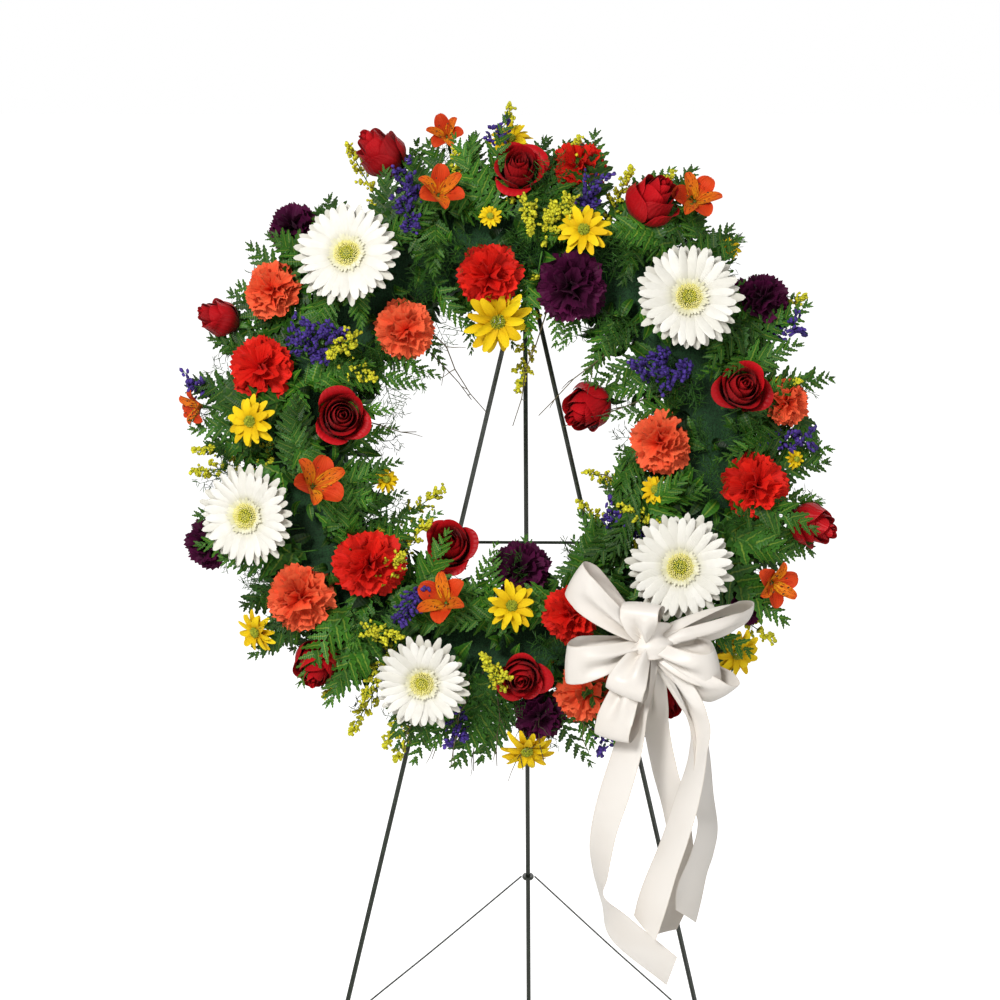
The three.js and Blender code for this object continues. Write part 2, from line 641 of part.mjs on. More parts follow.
function sectorWedge(index) {
  const trim = 0.3;
  const start = index * SECTOR_ANGLE;
  const middle = start + SECTOR_ANGLE / 2;
  const shift = trim / Math.sin(SECTOR_ANGLE / 2);
  const [cx, cy] = [Math.cos(middle) * shift, Math.sin(middle) * shift];
  const reach = 480;
  const corner = (angle) => [cx + Math.cos(angle) * reach, cy + Math.sin(angle) * reach];
  const corners = [[cx, cy], corner(start), corner(start + SECTOR_ANGLE)];
  const shape = new THREE.Shape(corners.map(([x, y]) => new THREE.Vector2(x, y)));
  const geometry = new THREE.ExtrudeGeometry(shape, { depth: 260, bevelEnabled: false });
  return solidOf(geometry.translate(0, 0, -60));
}

function mossBed(index) {
  const start = index * SECTOR_ANGLE;
  const arc = 3;
  const outer = [];
  const inner = [];
  for (let i = 0; i <= arc; i += 1) {
    const angle = start + 0.004 + ((SECTOR_ANGLE - 0.008) * i) / arc;
    outer.push(new THREE.Vector2(Math.cos(angle) * BED_OUTER, Math.sin(angle) * BED_OUTER));
    inner.push(new THREE.Vector2(Math.cos(angle) * BED_INNER, Math.sin(angle) * BED_INNER));
  }
  const shape = new THREE.Shape([...outer, ...inner.reverse()]);
  const geometry = new THREE.ExtrudeGeometry(shape, { depth: BED_FRONT - BED_BACK, bevelEnabled: false });
  return solidOf(geometry.translate(0, 0, BED_BACK));
}

// The sprig that keeps most of itself clear of the blooms, out of those made with the root
// moved along the ring by each of a few angles
const ROOT_SHIFTS = [0, 4, -4, 8, -8, 12, -12].map(THREE.MathUtils.degToRad);
function bentClear(make, guards) {
  let best = null;
  for (const shift of ROOT_SHIFTS) {
    const whole = make(shift);
    const kept = largestBody(trimmed(whole, guards));
    const share = kept.volume() / whole.volume();
    if (!best || share > best.share + 0.02) best = { share, kept };
    if (share > 0.97) break;
  }
  return best.kept;
}

function turnedAbout(point, angle) {
  return point.clone().applyAxisAngle(vec(0, 0, 1), angle);
}

function smallFlower(head, { view, size, sink = 0 }, shift) {
  const [x, y] = fromView(view);
  const facing = faceNormal(x, y);
  const centre = vec(x, y, faceHeight(Math.hypot(x, y)) - sink - 6);
  const root = turnedAbout(bedPoint(x, y), shift);
  const neck = centre.clone().addScaledVector(facing, 1);
  return placed(head(size), frameFacing(centre, facing)).add(rod(root, neck, SPRIG_R, SPRIG_R, 3));
}

function sectorFerns(index) {
  const start = index * SECTOR_ANGLE;
  const outward = FERN_SHARES.map((share) => {
    const angle = start + SECTOR_ANGLE * (share + 0.06 * (draw() - 0.5));
    const reach = FERN_OUTER_REACH + 16 * (draw() - 0.5);
    const tip = polar(angle + 0.1 * (draw() - 0.5), reach, FERN_TIP_Z + 14 * draw());
    return (shift) => {
      const root = polar(angle + shift / 2, BED_OUTER - 6, BED_FRONT - 3);
      return fernFrond(root, turnedAbout(tip, shift / 2), FERN_HALF_WIDTH);
    };
  });
  const inward = INNER_FERN_SHARES.map((share) => {
    const angle = start + SECTOR_ANGLE * (share + 0.1 * (draw() - 0.5));
    const tip = polar(angle, FERN_INNER_REACH + 8 * draw(), FERN_TIP_Z + 10);
    return (shift) => {
      const root = polar(angle + shift / 2, BED_INNER + 6, BED_FRONT - 3);
      return fernFrond(root, turnedAbout(tip, shift / 2), INNER_FERN_WIDTH);
    };
  });
  return [...outward, ...inward];
}

function sprayTo(tip, kind, sink, shift) {
  const [x, y] = fromView(tip);
  const root = turnedAbout(bedPoint(x, y), shift);
  return budSpray(root, vec(x, y, faceHeight(Math.hypot(x, y)) - sink), kind);
}

function foliageSector(index, guards) {
  const mine = (list, place) => list.filter((item) => inSector(index, ...fromView(place(item))));
  const makers = [
    ...sectorFerns(index),
    ...mine(DAISIES, ({ view }) => view).map((flower) => (shift) => smallFlower(daisyHead, flower, shift)),
    ...mine(LILIES, ({ view }) => view).map((flower) => (shift) => smallFlower(lilyHead, flower, shift)),
    ...mine(GOLDENROD_TIPS, (tip) => tip).map((tip) => (shift) => sprayTo(tip, GOLDENROD, 12, shift)),
    ...mine(STATICE_TIPS, (tip) => tip).map((tip) => (shift) => sprayTo(tip, STATICE, 14, shift)),
  ];
  const sprigs = makers.map((make) => bentClear(make, guards));
  const bed = trimmed(mossBed(index), guards);
  return largestBody(fuse([bed, ...sprigs]).intersect(sectorWedge(index)));
}

// Easel pieces in the face frame
function legAt(drop, side) {
  return vec((side * drop * FOOT_SPREAD) / 2 / FRONT_SLANT, APEX_Y - drop, 0);
}

function frontLeg(side, floor) {
  const eyeAt = braceEye(side);
  const leg = rod(legAt(LEG_TOP_DROP, side), legAt(FRONT_SLANT + 8, side), WIRE_R);
  return leg.add(eye(eyeAt, BRACE_EYE_R, BRACE_EYE_WIRE)).subtract(floor);
}

function braceEye(side) {
  const at = legAt(BRACE_EYE_DROP, side);
  at.z = -(WIRE_R + BRACE_EYE_R + BRACE_EYE_WIRE - 1);
  return at;
}

// The bend that joins the two legs over the top, with its straight part as the rear leg's pivot,
// and the J-shaped hook welded across it that carries the ring under the foam's inner edge
function topHook() {
  const foot = (side) => legAt(LEG_TOP_DROP - 0.3 - WIRE_R * 0.2, side);
  const shoulder = (side) => vec(side * 7.5, APEX_Y - 6, PIVOT_Z * 0.55);
  const crown = (side) => vec(side * 3.6, APEX_Y, PIVOT_Z);
  const bend = bentWire([foot(-1), shoulder(-1), crown(-1), crown(1), shoulder(1), foot(1)], WIRE_R, 9, 6);
  const half = Math.PI / RING_SEGMENTS;
  const under = RING_INNER - (EASEL_X + HOOK_R) * Math.tan(half) - (0.4 + HOOK_R) / Math.cos(half);
  const crook = bentWire([
    vec(0, APEX_Y - 13, -0.4),
    vec(0, under + 8, -0.4),
    vec(0, under + 0.6, 1),
    vec(0, under, 6),
    vec(0, under, FOAM_FRONT + 1),
    vec(0, under + 5, FOAM_FRONT + 7),
    vec(0, under + 20, FOAM_FRONT + 8),
  ], HOOK_R, 11, 6);
  const stay = rod(vec(-6, APEX_Y - 16, 0), vec(6, APEX_Y - 16, 0), HOOK_R * 0.9, HOOK_R * 0.9, 6);
  return fuse([bend, crook, stay]);
}

function crossbar() {
  const at = (side) => {
    const end = legAt(CROSSBAR_DROP, side);
    end.x -= side * (WIRE_R + 0.35);
    return end;
  };
  return rod(at(-1), at(1), CROSSBAR_R, CROSSBAR_R, 6);
}

// Rear leg from its pivot eye to the floor, and the ring that ties it to the braces
const REAR_DIR = vec(0, -Math.cos(REAR_ANGLE), -Math.sin(REAR_ANGLE));
function rearLeg(floor) {
  const apex = vec(0, APEX_Y, PIVOT_Z);
  const start = apex.clone().addScaledVector(REAR_DIR, PIVOT_EYE_R);
  const end = apex.clone().addScaledVector(REAR_DIR, 1.06 * FRONT_SLANT);
  return rod(start, end, WIRE_R).add(eye(apex, PIVOT_EYE_R, PIVOT_EYE_WIRE)).subtract(floor);
}

function tieAlongRear() {
  return TIE_DROP / Math.cos(REAR_ANGLE);
}

function tieRing() {
  const inner = WIRE_R + 0.3;
  const outer = TIE_R + TIE_WIRE;
  const profile = [
    [inner, -TIE_WIRE], [outer, -TIE_WIRE], [outer, TIE_WIRE], [inner, TIE_WIRE], [inner, -TIE_WIRE],
  ];
  const at = vec(0, APEX_Y, PIVOT_Z).addScaledVector(REAR_DIR, tieAlongRear());
  return placed(turned(profile, 8), frameFacing(at, REAR_DIR));
}

// Brace wire: pinned in the eye behind the front leg, running back to the tie ring
function braceWire(side) {
  const eyeAt = braceEye(side);
  const at = vec(0, APEX_Y, PIVOT_Z).addScaledVector(REAR_DIR, tieAlongRear());
  at.x = side * (TIE_R + TIE_WIRE + 0.3 + BRACE_R);
  const pinOut = eyeAt.clone().add(vec(side * 4.5, 0, 0));
  const pinIn = eyeAt.clone().add(vec(-side * 5, 0, 0));
  const bend = pinIn.clone().lerp(at, 0.03);
  bend.x = pinIn.x - side * 3;
  return bentWire([pinOut, eyeAt, pinIn, bend, pinIn.clone().lerp(at, 0.5), at], BRACE_R, 9, 5);
}

function foamRing(holes) {
  const bevel = 8;
  const profile = [
    [RING_INNER, FOAM_BACK], [RING_OUTER, FOAM_BACK], [RING_OUTER, FOAM_FRONT - bevel],
    [RING_OUTER - bevel, FOAM_FRONT], [RING_INNER + bevel, FOAM_FRONT], [RING_INNER, FOAM_FRONT - bevel],
    [RING_INNER, FOAM_BACK],
  ];
  return largestBody(trimmed(turned(profile, RING_SEGMENTS), holes));
}

function foamGuard() {
  const [inner, outer, front] = [RING_INNER - GAP, RING_OUTER + GAP, FOAM_FRONT + 0.2];
  const profile = [
    [inner, TRAY_BACK - 20], [outer, TRAY_BACK - 20], [outer, front - 8], [outer - 8, front],
    [inner + 8, front], [inner, front - 8], [inner, TRAY_BACK - 20],
  ];
  return turned(profile, RING_SEGMENTS);
}

function ringTray() {
  const front = TRAY_BACK + TRAY_T;
  const inner = RING_INNER + 6;
  const outer = RING_OUTER + 1;
  const profile = [
    [inner, TRAY_BACK], [outer, TRAY_BACK], [outer, front], [inner, front], [inner, TRAY_BACK],
  ];
  return turned(profile, RING_SEGMENTS);
}

// Named mesh of a solid, without the slivers that trimming leaves
function meshOf(name, solid, colour) {
  const { vertProperties, triVerts, numProp, numVert } = solid.simplify(SLIVER).getMesh();
  const positions = new Float32Array(numVert * 3);
  for (let i = 0; i < numVert; i += 1) {
    positions.set(vertProperties.subarray(i * numProp, i * numProp + 3), i * 3);
  }
  const geometry = new THREE.BufferGeometry();
  geometry.setAttribute("position", new THREE.BufferAttribute(positions, 3));
  geometry.setIndex(new THREE.BufferAttribute(new Uint32Array(triVerts), 1));
  geometry.computeVertexNormals();
  const [color, roughness, metalness] = COLOURS[colour];
  const mesh = new THREE.Mesh(geometry, new THREE.MeshStandardMaterial({ color, roughness, metalness }));
  mesh.name = name;
  return mesh;
}

// Floor under the leaning frame, as a block that trims the wire ends flat
function floorBlock() {
  const apexHeight = FRONT_SLANT * Math.cos(LEAN);
  const block = new THREE.BoxGeometry(2000, 2000, 200).translate(0, 0, -apexHeight - 100);
  block.applyMatrix4(new THREE.Matrix4().makeRotationX(LEAN - Math.PI / 2));
  return solidOf(block.translate(0, APEX_Y, 0));
}

const face = new THREE.Group();
face.rotation.x = Math.PI / 2 - LEAN;
const floor = floorBlock();

const bowLoops = LOOPS.map(loopStations);
const pick = bowPick();
const bow = fuse([bowKnot(0), pick.solid, ...bowLoops.map((stations) => ribbonStrip(stations))]);
const bowGuard = fuse([bowKnot(0.4), pick.room, ...bowLoops.map((stations) => ribbonStrip(stations, 0.3))]);
face.add(meshOf("bow_loops", largestBody(bow), "ribbon"));

const ribbonGuards = [bowGuard];
for (const tail of TAILS) {
  const stations = tailStations(tail);
  const strip = largestBody(trimmed(ribbonStrip(stations), ribbonGuards));
  ribbonGuards.push(ribbonStrip(stations, GAP));
  face.add(meshOf(tail.name, strip, "ribbon"));
}

const beside = (solid) => solid.translate([EASEL_X, 0, 0]);
const hook = beside(topHook());
const guards = [...ribbonGuards];
const stemRooms = [pick.room];
for (const bloom of BLOOMS) {
  const { solid, guard, stemRoom } = plantBloom(bloom);
  face.add(meshOf(bloom.name, largestBody(trimmed(solid, guards)), bloom.kind));
  guards.push(guard);
  stemRooms.push(stemRoom);
}
guards.push(hook, foamGuard());

face.add(meshOf("foam_ring", foamRing(stemRooms), "foam"));
face.add(meshOf("ring_tray", ringTray(), "tray"));
for (let i = 0; i < SECTORS; i += 1) {
  face.add(meshOf(`foliage_${i + 1}`, foliageSector(i, guards), "leaf"));
}

face.add(meshOf("front_leg_left", beside(frontLeg(-1, floor)), "wire"));
face.add(meshOf("front_leg_right", beside(frontLeg(1, floor)), "wire"));
face.add(meshOf("top_hook", hook, "wire"));
face.add(meshOf("crossbar", beside(crossbar()), "wire"));
face.add(meshOf("rear_leg", beside(rearLeg(floor)), "wire"));
face.add(meshOf("tie_ring", beside(tieRing()), "wire"));
face.add(meshOf("brace_left", beside(braceWire(-1)), "wire"));
face.add(meshOf("brace_right", beside(braceWire(1)), "wire"));

const group = new THREE.Group();
group.add(face);
group.updateMatrixWorld(true);
const extent = new THREE.Box3().setFromObject(group, true);
const centre = extent.getCenter(vec(0, 0, 0));
group.position.set(-centre.x, -centre.y, -extent.min.z);

export default group;
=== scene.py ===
"""Funeral wreath of fresh flowers, fern and satin ribbon on a folding wire easel.

Every petal, leaf and loop is a surface worked out with numpy in the wreath's own face frame, in
millimetres: x to the right, y up the slant, z out of the face, from the middle of the ring. One
function carries it into the row frame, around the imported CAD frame.
"""

import logging
import math
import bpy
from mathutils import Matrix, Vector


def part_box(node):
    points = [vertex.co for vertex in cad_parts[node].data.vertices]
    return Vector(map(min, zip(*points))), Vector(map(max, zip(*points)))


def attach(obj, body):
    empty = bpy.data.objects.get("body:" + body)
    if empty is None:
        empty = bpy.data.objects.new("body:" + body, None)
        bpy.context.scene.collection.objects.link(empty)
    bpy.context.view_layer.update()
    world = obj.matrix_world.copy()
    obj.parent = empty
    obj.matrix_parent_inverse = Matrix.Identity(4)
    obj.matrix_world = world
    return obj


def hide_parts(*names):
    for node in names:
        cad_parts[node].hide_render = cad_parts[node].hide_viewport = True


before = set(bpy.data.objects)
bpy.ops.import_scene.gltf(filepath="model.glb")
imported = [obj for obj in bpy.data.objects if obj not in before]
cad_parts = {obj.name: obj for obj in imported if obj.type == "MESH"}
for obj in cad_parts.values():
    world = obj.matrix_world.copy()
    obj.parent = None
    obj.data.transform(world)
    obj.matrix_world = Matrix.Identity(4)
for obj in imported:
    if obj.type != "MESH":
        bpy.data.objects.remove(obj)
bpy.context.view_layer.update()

import zlib
from dataclasses import dataclass, field
from enum import Enum
from typing import ClassVar

import bpy
import numpy as np
from mathutils import Matrix

log = logging.getLogger("wreath")

LEAN = math.radians(10)
FACE_X = np.array([1.0, 0.0, 0.0])
FACE_Y = np.array([0.0, math.sin(LEAN), math.cos(LEAN)])
FACE_Z = np.array([0.0, -math.cos(LEAN), math.sin(LEAN)])
TRAY_MIDDLE_Z = 3.5
RING_MIDDLE_R = 190.25
VIEW_MIDDLE = np.array([507.0, 443.0])
MM_PER_VIEW_UNIT = 0.92
GOLDEN_ANGLE = math.radians(137.508)
RIBBON_WIDTH = 36.5
STEM_BAND = (171.25, 209.25)
STEM_FOOT_Z = 54.0
WHITE = (1.0, 1.0, 1.0, 1.0)


def face_origin() -> np.ndarray:
    """The middle of the ring in the row frame, from the tray's box.

    Returns:
        The origin of the face frame in metres.
    """
    low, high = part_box("ring_tray")
    middle = (np.array(low) + np.array(high)) / 2
    return middle - FACE_Z * TRAY_MIDDLE_Z / 1000


ORIGIN = face_origin()


def to_row(points: np.ndarray) -> np.ndarray:
    """Face frame to row frame: origin plus each coordinate along its axis, a thousandth of it.

    Args:
        points: Points in the face frame in millimetres, with the coordinates last.

    Returns:
        The same points in the row frame in metres.
    """
    axes = np.stack([FACE_X, FACE_Y, FACE_Z])
    return ORIGIN + points @ axes / 1000


def from_view(view: tuple[float, float]) -> np.ndarray:
    """The face point in millimetres behind a place in the square front view, 1000 units wide."""
    flat = (np.array(view, float) - VIEW_MIDDLE) * MM_PER_VIEW_UNIT
    return np.array([flat[0], -flat[1]])


def stem_foot(
    view: tuple[float, float], inner: float, outer: float, high: float
) -> tuple[np.ndarray, float, np.ndarray]:
    """Where a stem enters the foam, straight inward or outward of its flower.

    Args:
        view: The flower's place in the front view.
        inner: Least radius of the foot.
        outer: Greatest radius of the foot.
        high: Height of the foot.

    Returns:
        The flower's x and y, its radius and the foot.
    """
    flat = from_view(view)
    radius = math.hypot(*flat)
    return flat, radius, np.array([*(flat * (np.clip(radius, inner, outer) / radius)), high])


def face_height(radius: float) -> float:
    """Height of the flowers' dome over the frame: 40 mm at its edges, a cosine up to 112 mm."""
    across = np.clip((radius - RING_MIDDLE_R) / 125, -1, 1)
    return float(40 + 72 * math.cos(across * math.pi / 2))


def free_way(root: np.ndarray, reach: float, start: float) -> np.ndarray:
    """The tip of a rib of this reach, laid where it stays furthest from the blooms' heads.

    The choice is among ten directions at even steps. A tip that leaves the ring of greens counts
    as near a head.

    Args:
        root: Where the rib starts.
        reach: Its length seen from the front.
        start: The first direction, in radians.

    Returns:
        The tip, at the root's height.
    """
    ways = start + np.arange(10) * math.pi / 5
    lines = np.stack([np.cos(ways), np.sin(ways)], -1)[:, None] * (reach * np.array([0.35, 0.6, 0.8, 1.0]))[:, None]
    places = root[:2] + lines
    heads = np.array([[*from_view(bloom.view), bloom.radius] for bloom in BLOOMS])
    room = (np.linalg.norm(places[:, :, None] - heads[:, :2], axis=-1) - heads[:, 2]).min(axis=(1, 2))
    far = np.linalg.norm(places[:, -1], axis=-1)
    room -= 60 * ((far < 104) | (far > 292))
    return np.array([*places[int(np.argmax(np.minimum(room, 14.0))), -1], root[2]])


def dome_normal(x: float, y: float) -> np.ndarray:
    """The dome's outward direction: it leans 48 degrees away from the ring's crest at its edges."""
    radius = math.hypot(x, y)
    tilt = math.radians(48) * (radius - RING_MIDDLE_R) / 125
    return np.array([x / radius * math.sin(tilt), y / radius * math.sin(tilt), math.cos(tilt)])


def seeded(name: str) -> np.random.Generator:
    """A random generator that is the same for a name in every run."""
    return np.random.default_rng(zlib.crc32(name.encode()))


def unit(vector: np.ndarray) -> np.ndarray:
    """The vectors along the last axis, scaled to length one."""
    return vector / np.maximum(np.linalg.norm(vector, axis=-1, keepdims=True), 1e-9)


def turn_to(facing: np.ndarray, spin: float = 0.0) -> np.ndarray:
    """A turn that carries +z onto a direction, after a spin about +z.

    Args:
        facing: The direction that +z is carried to.
        spin: Angle of the spin in radians.

    Returns:
        A matrix whose rows are the carried x, y and z axes.
    """
    z = unit(np.asarray(facing, float))
    side = np.cross([0.0, 1.0, 0.0], z)
    if np.linalg.norm(side) < 1e-3:
        side = np.array([1.0, 0.0, 0.0])
    x = unit(side)
    y = np.cross(z, x)
    c, s = math.cos(spin), math.sin(spin)
    return np.stack([c * x + s * y, -s * x + c * y, z])


def smooth(t: np.ndarray) -> np.ndarray:
    """Smooth step from 0 to 1: 3t squared less 2t cubed, with t held between 0 and 1."""
    t = np.clip(t, 0, 1)
    return t * t * (3 - 2 * t)


def spline(knots: np.ndarray, count: int) -> np.ndarray:
    """Catmull-Rom curve through points, with its ends repeated.

    Args:
        knots: Points, one a row.
        count: How many points to return.

    Returns:
        That many points, evenly spaced in the curve's parameter.
    """
    padded = np.concatenate([2 * knots[:1] - knots[1:2], knots, 2 * knots[-1:] - knots[-2:-1]])
    at = np.linspace(0, len(knots) - 1, count)
    i = np.minimum(at.astype(int), len(knots) - 2)
    t = (at - i)[:, None]
    a, b, c, d = padded[i], padded[i + 1], padded[i + 2], padded[i + 3]
    return 0.5 * (2 * b + (c - a) * t + (2 * a - 5 * b + 4 * c - d) * t**2 + (3 * b - a - 3 * c + d) * t**3)


@dataclass
class Patch:
    """Part of a mesh: points, faces with one number of corners, UVs and a tone for each point."""

    points: np.ndarray
    faces: np.ndarray
    uv: np.ndarray
    tone: np.ndarray
    finish: int = 0


def leaf_solids(grids: np.ndarray, thickness: float, tones: np.ndarray, finish: int = 0) -> Patch:
    """Thin closed solids from sheets: each sheet is moved half a thickness both ways along its
    normal, but not at its rim, where the two sides share their points.

    Args:
        grids: Points of shape (sheets, steps along, steps across, 3).
        thickness: Thickness away from the rim in millimetres.
        tones: One tone a sheet.
        finish: Which finish of the piece the faces take.

    Returns:
        The patch. Its UV runs across in u and along in v.
    """
    k, nv, nu, _ = grids.shape
    normal = unit(np.cross(np.gradient(grids, axis=2), np.gradient(grids, axis=1)))
    inside = np.zeros((nv, nu))
    inside[1:-1, 1:-1] = thickness / 2
    lift = normal * inside[None, :, :, None]
    front = np.arange(nv * nu).reshape(nv, nu)
    back = front.copy()
    back[1:-1, 1:-1] = nv * nu + np.arange((nv - 2) * (nu - 2)).reshape(nv - 2, nu - 2)
    a, b, c, d = front[:-1, :-1], front[:-1, 1:], front[1:, 1:], front[1:, :-1]
    e, f, g, h = back[:-1, :-1], back[:-1, 1:], back[1:, 1:], back[1:, :-1]
    quads = np.concatenate([np.stack([a, b, c, d], -1).reshape(-1, 4), np.stack([h, g, f, e], -1).reshape(-1, 4)])
    per_sheet = nv * nu + (nv - 2) * (nu - 2)
    under = (grids - lift)[:, 1:-1, 1:-1].reshape(k, -1, 3)
    points = np.concatenate([(grids + lift).reshape(k, -1, 3), under], axis=1).reshape(-1, 3)
    v, u = np.meshgrid(np.linspace(0, 1, nv), np.linspace(0, 1, nu), indexing="ij")
    flat = np.stack([u, v], -1)
    uv = np.concatenate([flat.reshape(-1, 2), flat[1:-1, 1:-1].reshape(-1, 2)])
    faces = (quads[None] + (np.arange(k) * per_sheet)[:, None, None]).reshape(-1, 4)
    return Patch(points, faces, np.tile(uv, (k, 1)), np.repeat(tones, per_sheet), finish)


def tubes(paths: np.ndarray, radii: np.ndarray, sides: int, tones: np.ndarray, finish: int = 0) -> Patch:
    """Tubes along paths: a ring of points stands across each path's direction at every step.

    Args:
        paths: Points of shape (tubes, steps, 3).
        radii: Radius at each step, of shape (steps,) or (tubes, steps).
        sides: Points in a ring.
        tones: One tone a tube.
        finish: Which finish of the piece the faces take.

    Returns:
        The patch, with its ends closed to a point at the middle of the end rings.
    """
    k, n, _ = paths.shape
    along = unit(np.gradient(paths, axis=1))
    side = np.cross(along, np.broadcast_to([0.31, 0.17, 0.93], along.shape))
    side = unit(side)
    over = np.cross(along, side)
    turn = np.linspace(0, 2 * math.pi, sides, endpoint=False)
    radii = np.broadcast_to(radii, (k, n))[:, :, None, None]
    rings = paths[:, :, None] + radii * (
        side[:, :, None] * np.cos(turn)[:, None] + over[:, :, None] * np.sin(turn)[:, None]
    )
    per_tube = n * sides + 2
    points = np.concatenate([rings.reshape(k, -1, 3), paths[:, :1], paths[:, -1:]], axis=1)
    base = np.arange(n * sides).reshape(n, sides)
    right = np.roll(base, -1, axis=1)
    wall = np.stack([base[:-1], right[:-1], right[1:], base[1:]], -1).reshape(-1, 4)
    low = np.stack([right[0], base[0], np.full(sides, n * sides), np.full(sides, n * sides)], -1)
    high = np.stack([base[-1], right[-1], np.full(sides, n * sides + 1), np.full(sides, n * sides + 1)], -1)
    quads = np.concatenate([wall, low, high])
    faces = (quads[None] + (np.arange(k) * per_tube)[:, None, None]).reshape(-1, 4)
    v, u = np.meshgrid(np.linspace(0, 1, n), np.linspace(0, 1, sides), indexing="ij")
    uv = np.concatenate([np.stack([u, v], -1).reshape(-1, 2), [[0.5, 0.0], [0.5, 1.0]]])
    return Patch(points.reshape(-1, 3), faces, np.tile(uv, (k, 1)), np.repeat(tones, per_tube), finish)


def grains(
    middles: np.ndarray, axes: np.ndarray, size: np.ndarray, tones: np.ndarray, finish: int = 0, sides: int = 4
) -> Patch:
    """Small grains, each a spindle of two rings of points between two tips, along an axis.

    Args:
        middles: Middle of each grain, of shape (grains, 3).
        axes: Direction of each grain, of the same shape.
        size: Half width and half length of each grain, of shape (grains, 2).
        tones: One tone a grain.
        finish: Which finish of the piece the faces take.
        sides: Points in a ring.

    Returns:
        The patch.
    """
    k = len(middles)
    z = unit(axes)
    x = unit(np.cross(z, np.broadcast_to([0.27, 0.93, 0.21], z.shape)))
    y = np.cross(z, x)
    turn = np.linspace(0, 2 * math.pi, sides, endpoint=False)
    around = x[:, None] * np.cos(turn)[:, None] + y[:, None] * np.sin(turn)[:, None]
    wide = size[:, :1, None] * around
    long = size[:, 1:, None] * z[:, None]
    rings = [middles[:, None] + wide * 0.85 - long * 0.45, middles[:, None] + wide + long * 0.35]
    points = np.concatenate([middles[:, None] - long, *rings, middles[:, None] + long], axis=1)
    low = 1 + np.arange(sides)
    high = low + sides
    foot, tip = np.zeros(sides, int), np.full(sides, 2 * sides + 1)
    quads = np.concatenate([
        np.stack([np.roll(low, -1), low, foot, foot], -1),
        np.stack([low, np.roll(low, -1), np.roll(high, -1), high], -1),
        np.stack([high, np.roll(high, -1), tip, tip], -1),
    ])
    per_grain = 2 * sides + 2
    faces = (quads[None] + (np.arange(k) * per_grain)[:, None, None]).reshape(-1, 4)
    around_uv = np.stack([np.tile(turn / 7, 2), np.repeat([0.3, 0.7], sides)], -1)
    uv = np.tile(np.concatenate([[[0.5, 0]], around_uv, [[0.5, 1]]]), (k, 1))
    return Patch(points.reshape(-1, 3), faces, uv, np.repeat(tones, per_grain), finish)


def tube(path: np.ndarray, radii: np.ndarray, sides: int, tone: float, finish: int = 0) -> Patch:
    """One tube of one tone along a path."""
    return tubes(path[None], radii, sides, np.array([tone]), finish)


def stalk(heights: tuple[float, ...], radii: tuple[float, ...], sides: int, tone: float, finish: int) -> Patch:
    """A turned solid about the z axis, with a radius at each height."""
    return tube(np.array([[0.0, 0.0, z] for z in heights]), np.array(radii), sides, tone, finish)


def around_axis(out: np.ndarray, aside: np.ndarray, high: np.ndarray, turn: np.ndarray) -> np.ndarray:
    """Points at a distance out, a distance aside and a height, turned about the z axis."""
    x = out * np.cos(turn) - aside * np.sin(turn)
    y = out * np.sin(turn) + aside * np.cos(turn)
    return np.stack(np.broadcast_arrays(x, y, high), -1)


def at_share(path: np.ndarray, share: np.ndarray) -> np.ndarray:
    """The points at shares of a path's length in steps."""
    steps = np.arange(len(path))
    return np.stack([np.interp(share * (len(path) - 1), steps, path[:, i]) for i in range(3)], -1)


def placed(patch: Patch, at: np.ndarray, turn: np.ndarray) -> Patch:
    """The patch turned by a matrix of carried axes and moved to a place."""
    return Patch(patch.points @ turn + at, patch.faces, patch.uv, patch.tone, patch.finish)


def linear(colour: str) -> tuple[float, float, float, float]:
    """An sRGB hex colour as linear red, green, blue and one."""
    parts = [int(colour[i : i + 2], 16) / 255 for i in (1, 3, 5)]
    red, green, blue = [p / 12.92 if p <= 0.04045 else ((p + 0.055) / 1.055) ** 2.4 for p in parts]
    return red, green, blue, 1.0


def feed(tree: bpy.types.NodeTree, node: bpy.types.Node, inputs: dict) -> None:
    """Sets a node's inputs to values, or links them from output sockets."""
    for key, value in inputs.items():
        if isinstance(value, bpy.types.NodeSocket):
            tree.links.new(value, node.inputs[key])
        else:
            node.inputs[key].default_value = value


def add_node(tree: bpy.types.NodeTree, kind: str, inputs: dict | None = None, **settings: object) -> bpy.types.Node:
    """Adds one shader node with its settings, values and links.

    Args:
        tree: The material's node tree.
        kind: The node's type name without its ShaderNode prefix.
        inputs: Socket name or number to a value, or to the output socket to link from.
        **settings: Attributes of the node.

    Returns:
        The node.
    """
    node = tree.nodes.new("ShaderNode" + kind)
    for name, value in settings.items():
        setattr(node, name, value)
    feed(tree, node, inputs or {})
    return node


def ramp(
    tree: bpy.types.NodeTree, factor: bpy.types.NodeSocket, stops: list[tuple[float, str]]
) -> bpy.types.NodeSocket:
    """A colour ramp with its stops' places and hex colours, read at a factor."""
    node = add_node(tree, "ValToRGB", {"Fac": factor})
    elements = node.color_ramp.elements
    while len(elements) < len(stops):
        elements.new(0.5)
    for element, (place, colour) in zip(elements, stops):
        element.position = place
        element.color = linear(colour)
    return node.outputs["Color"]


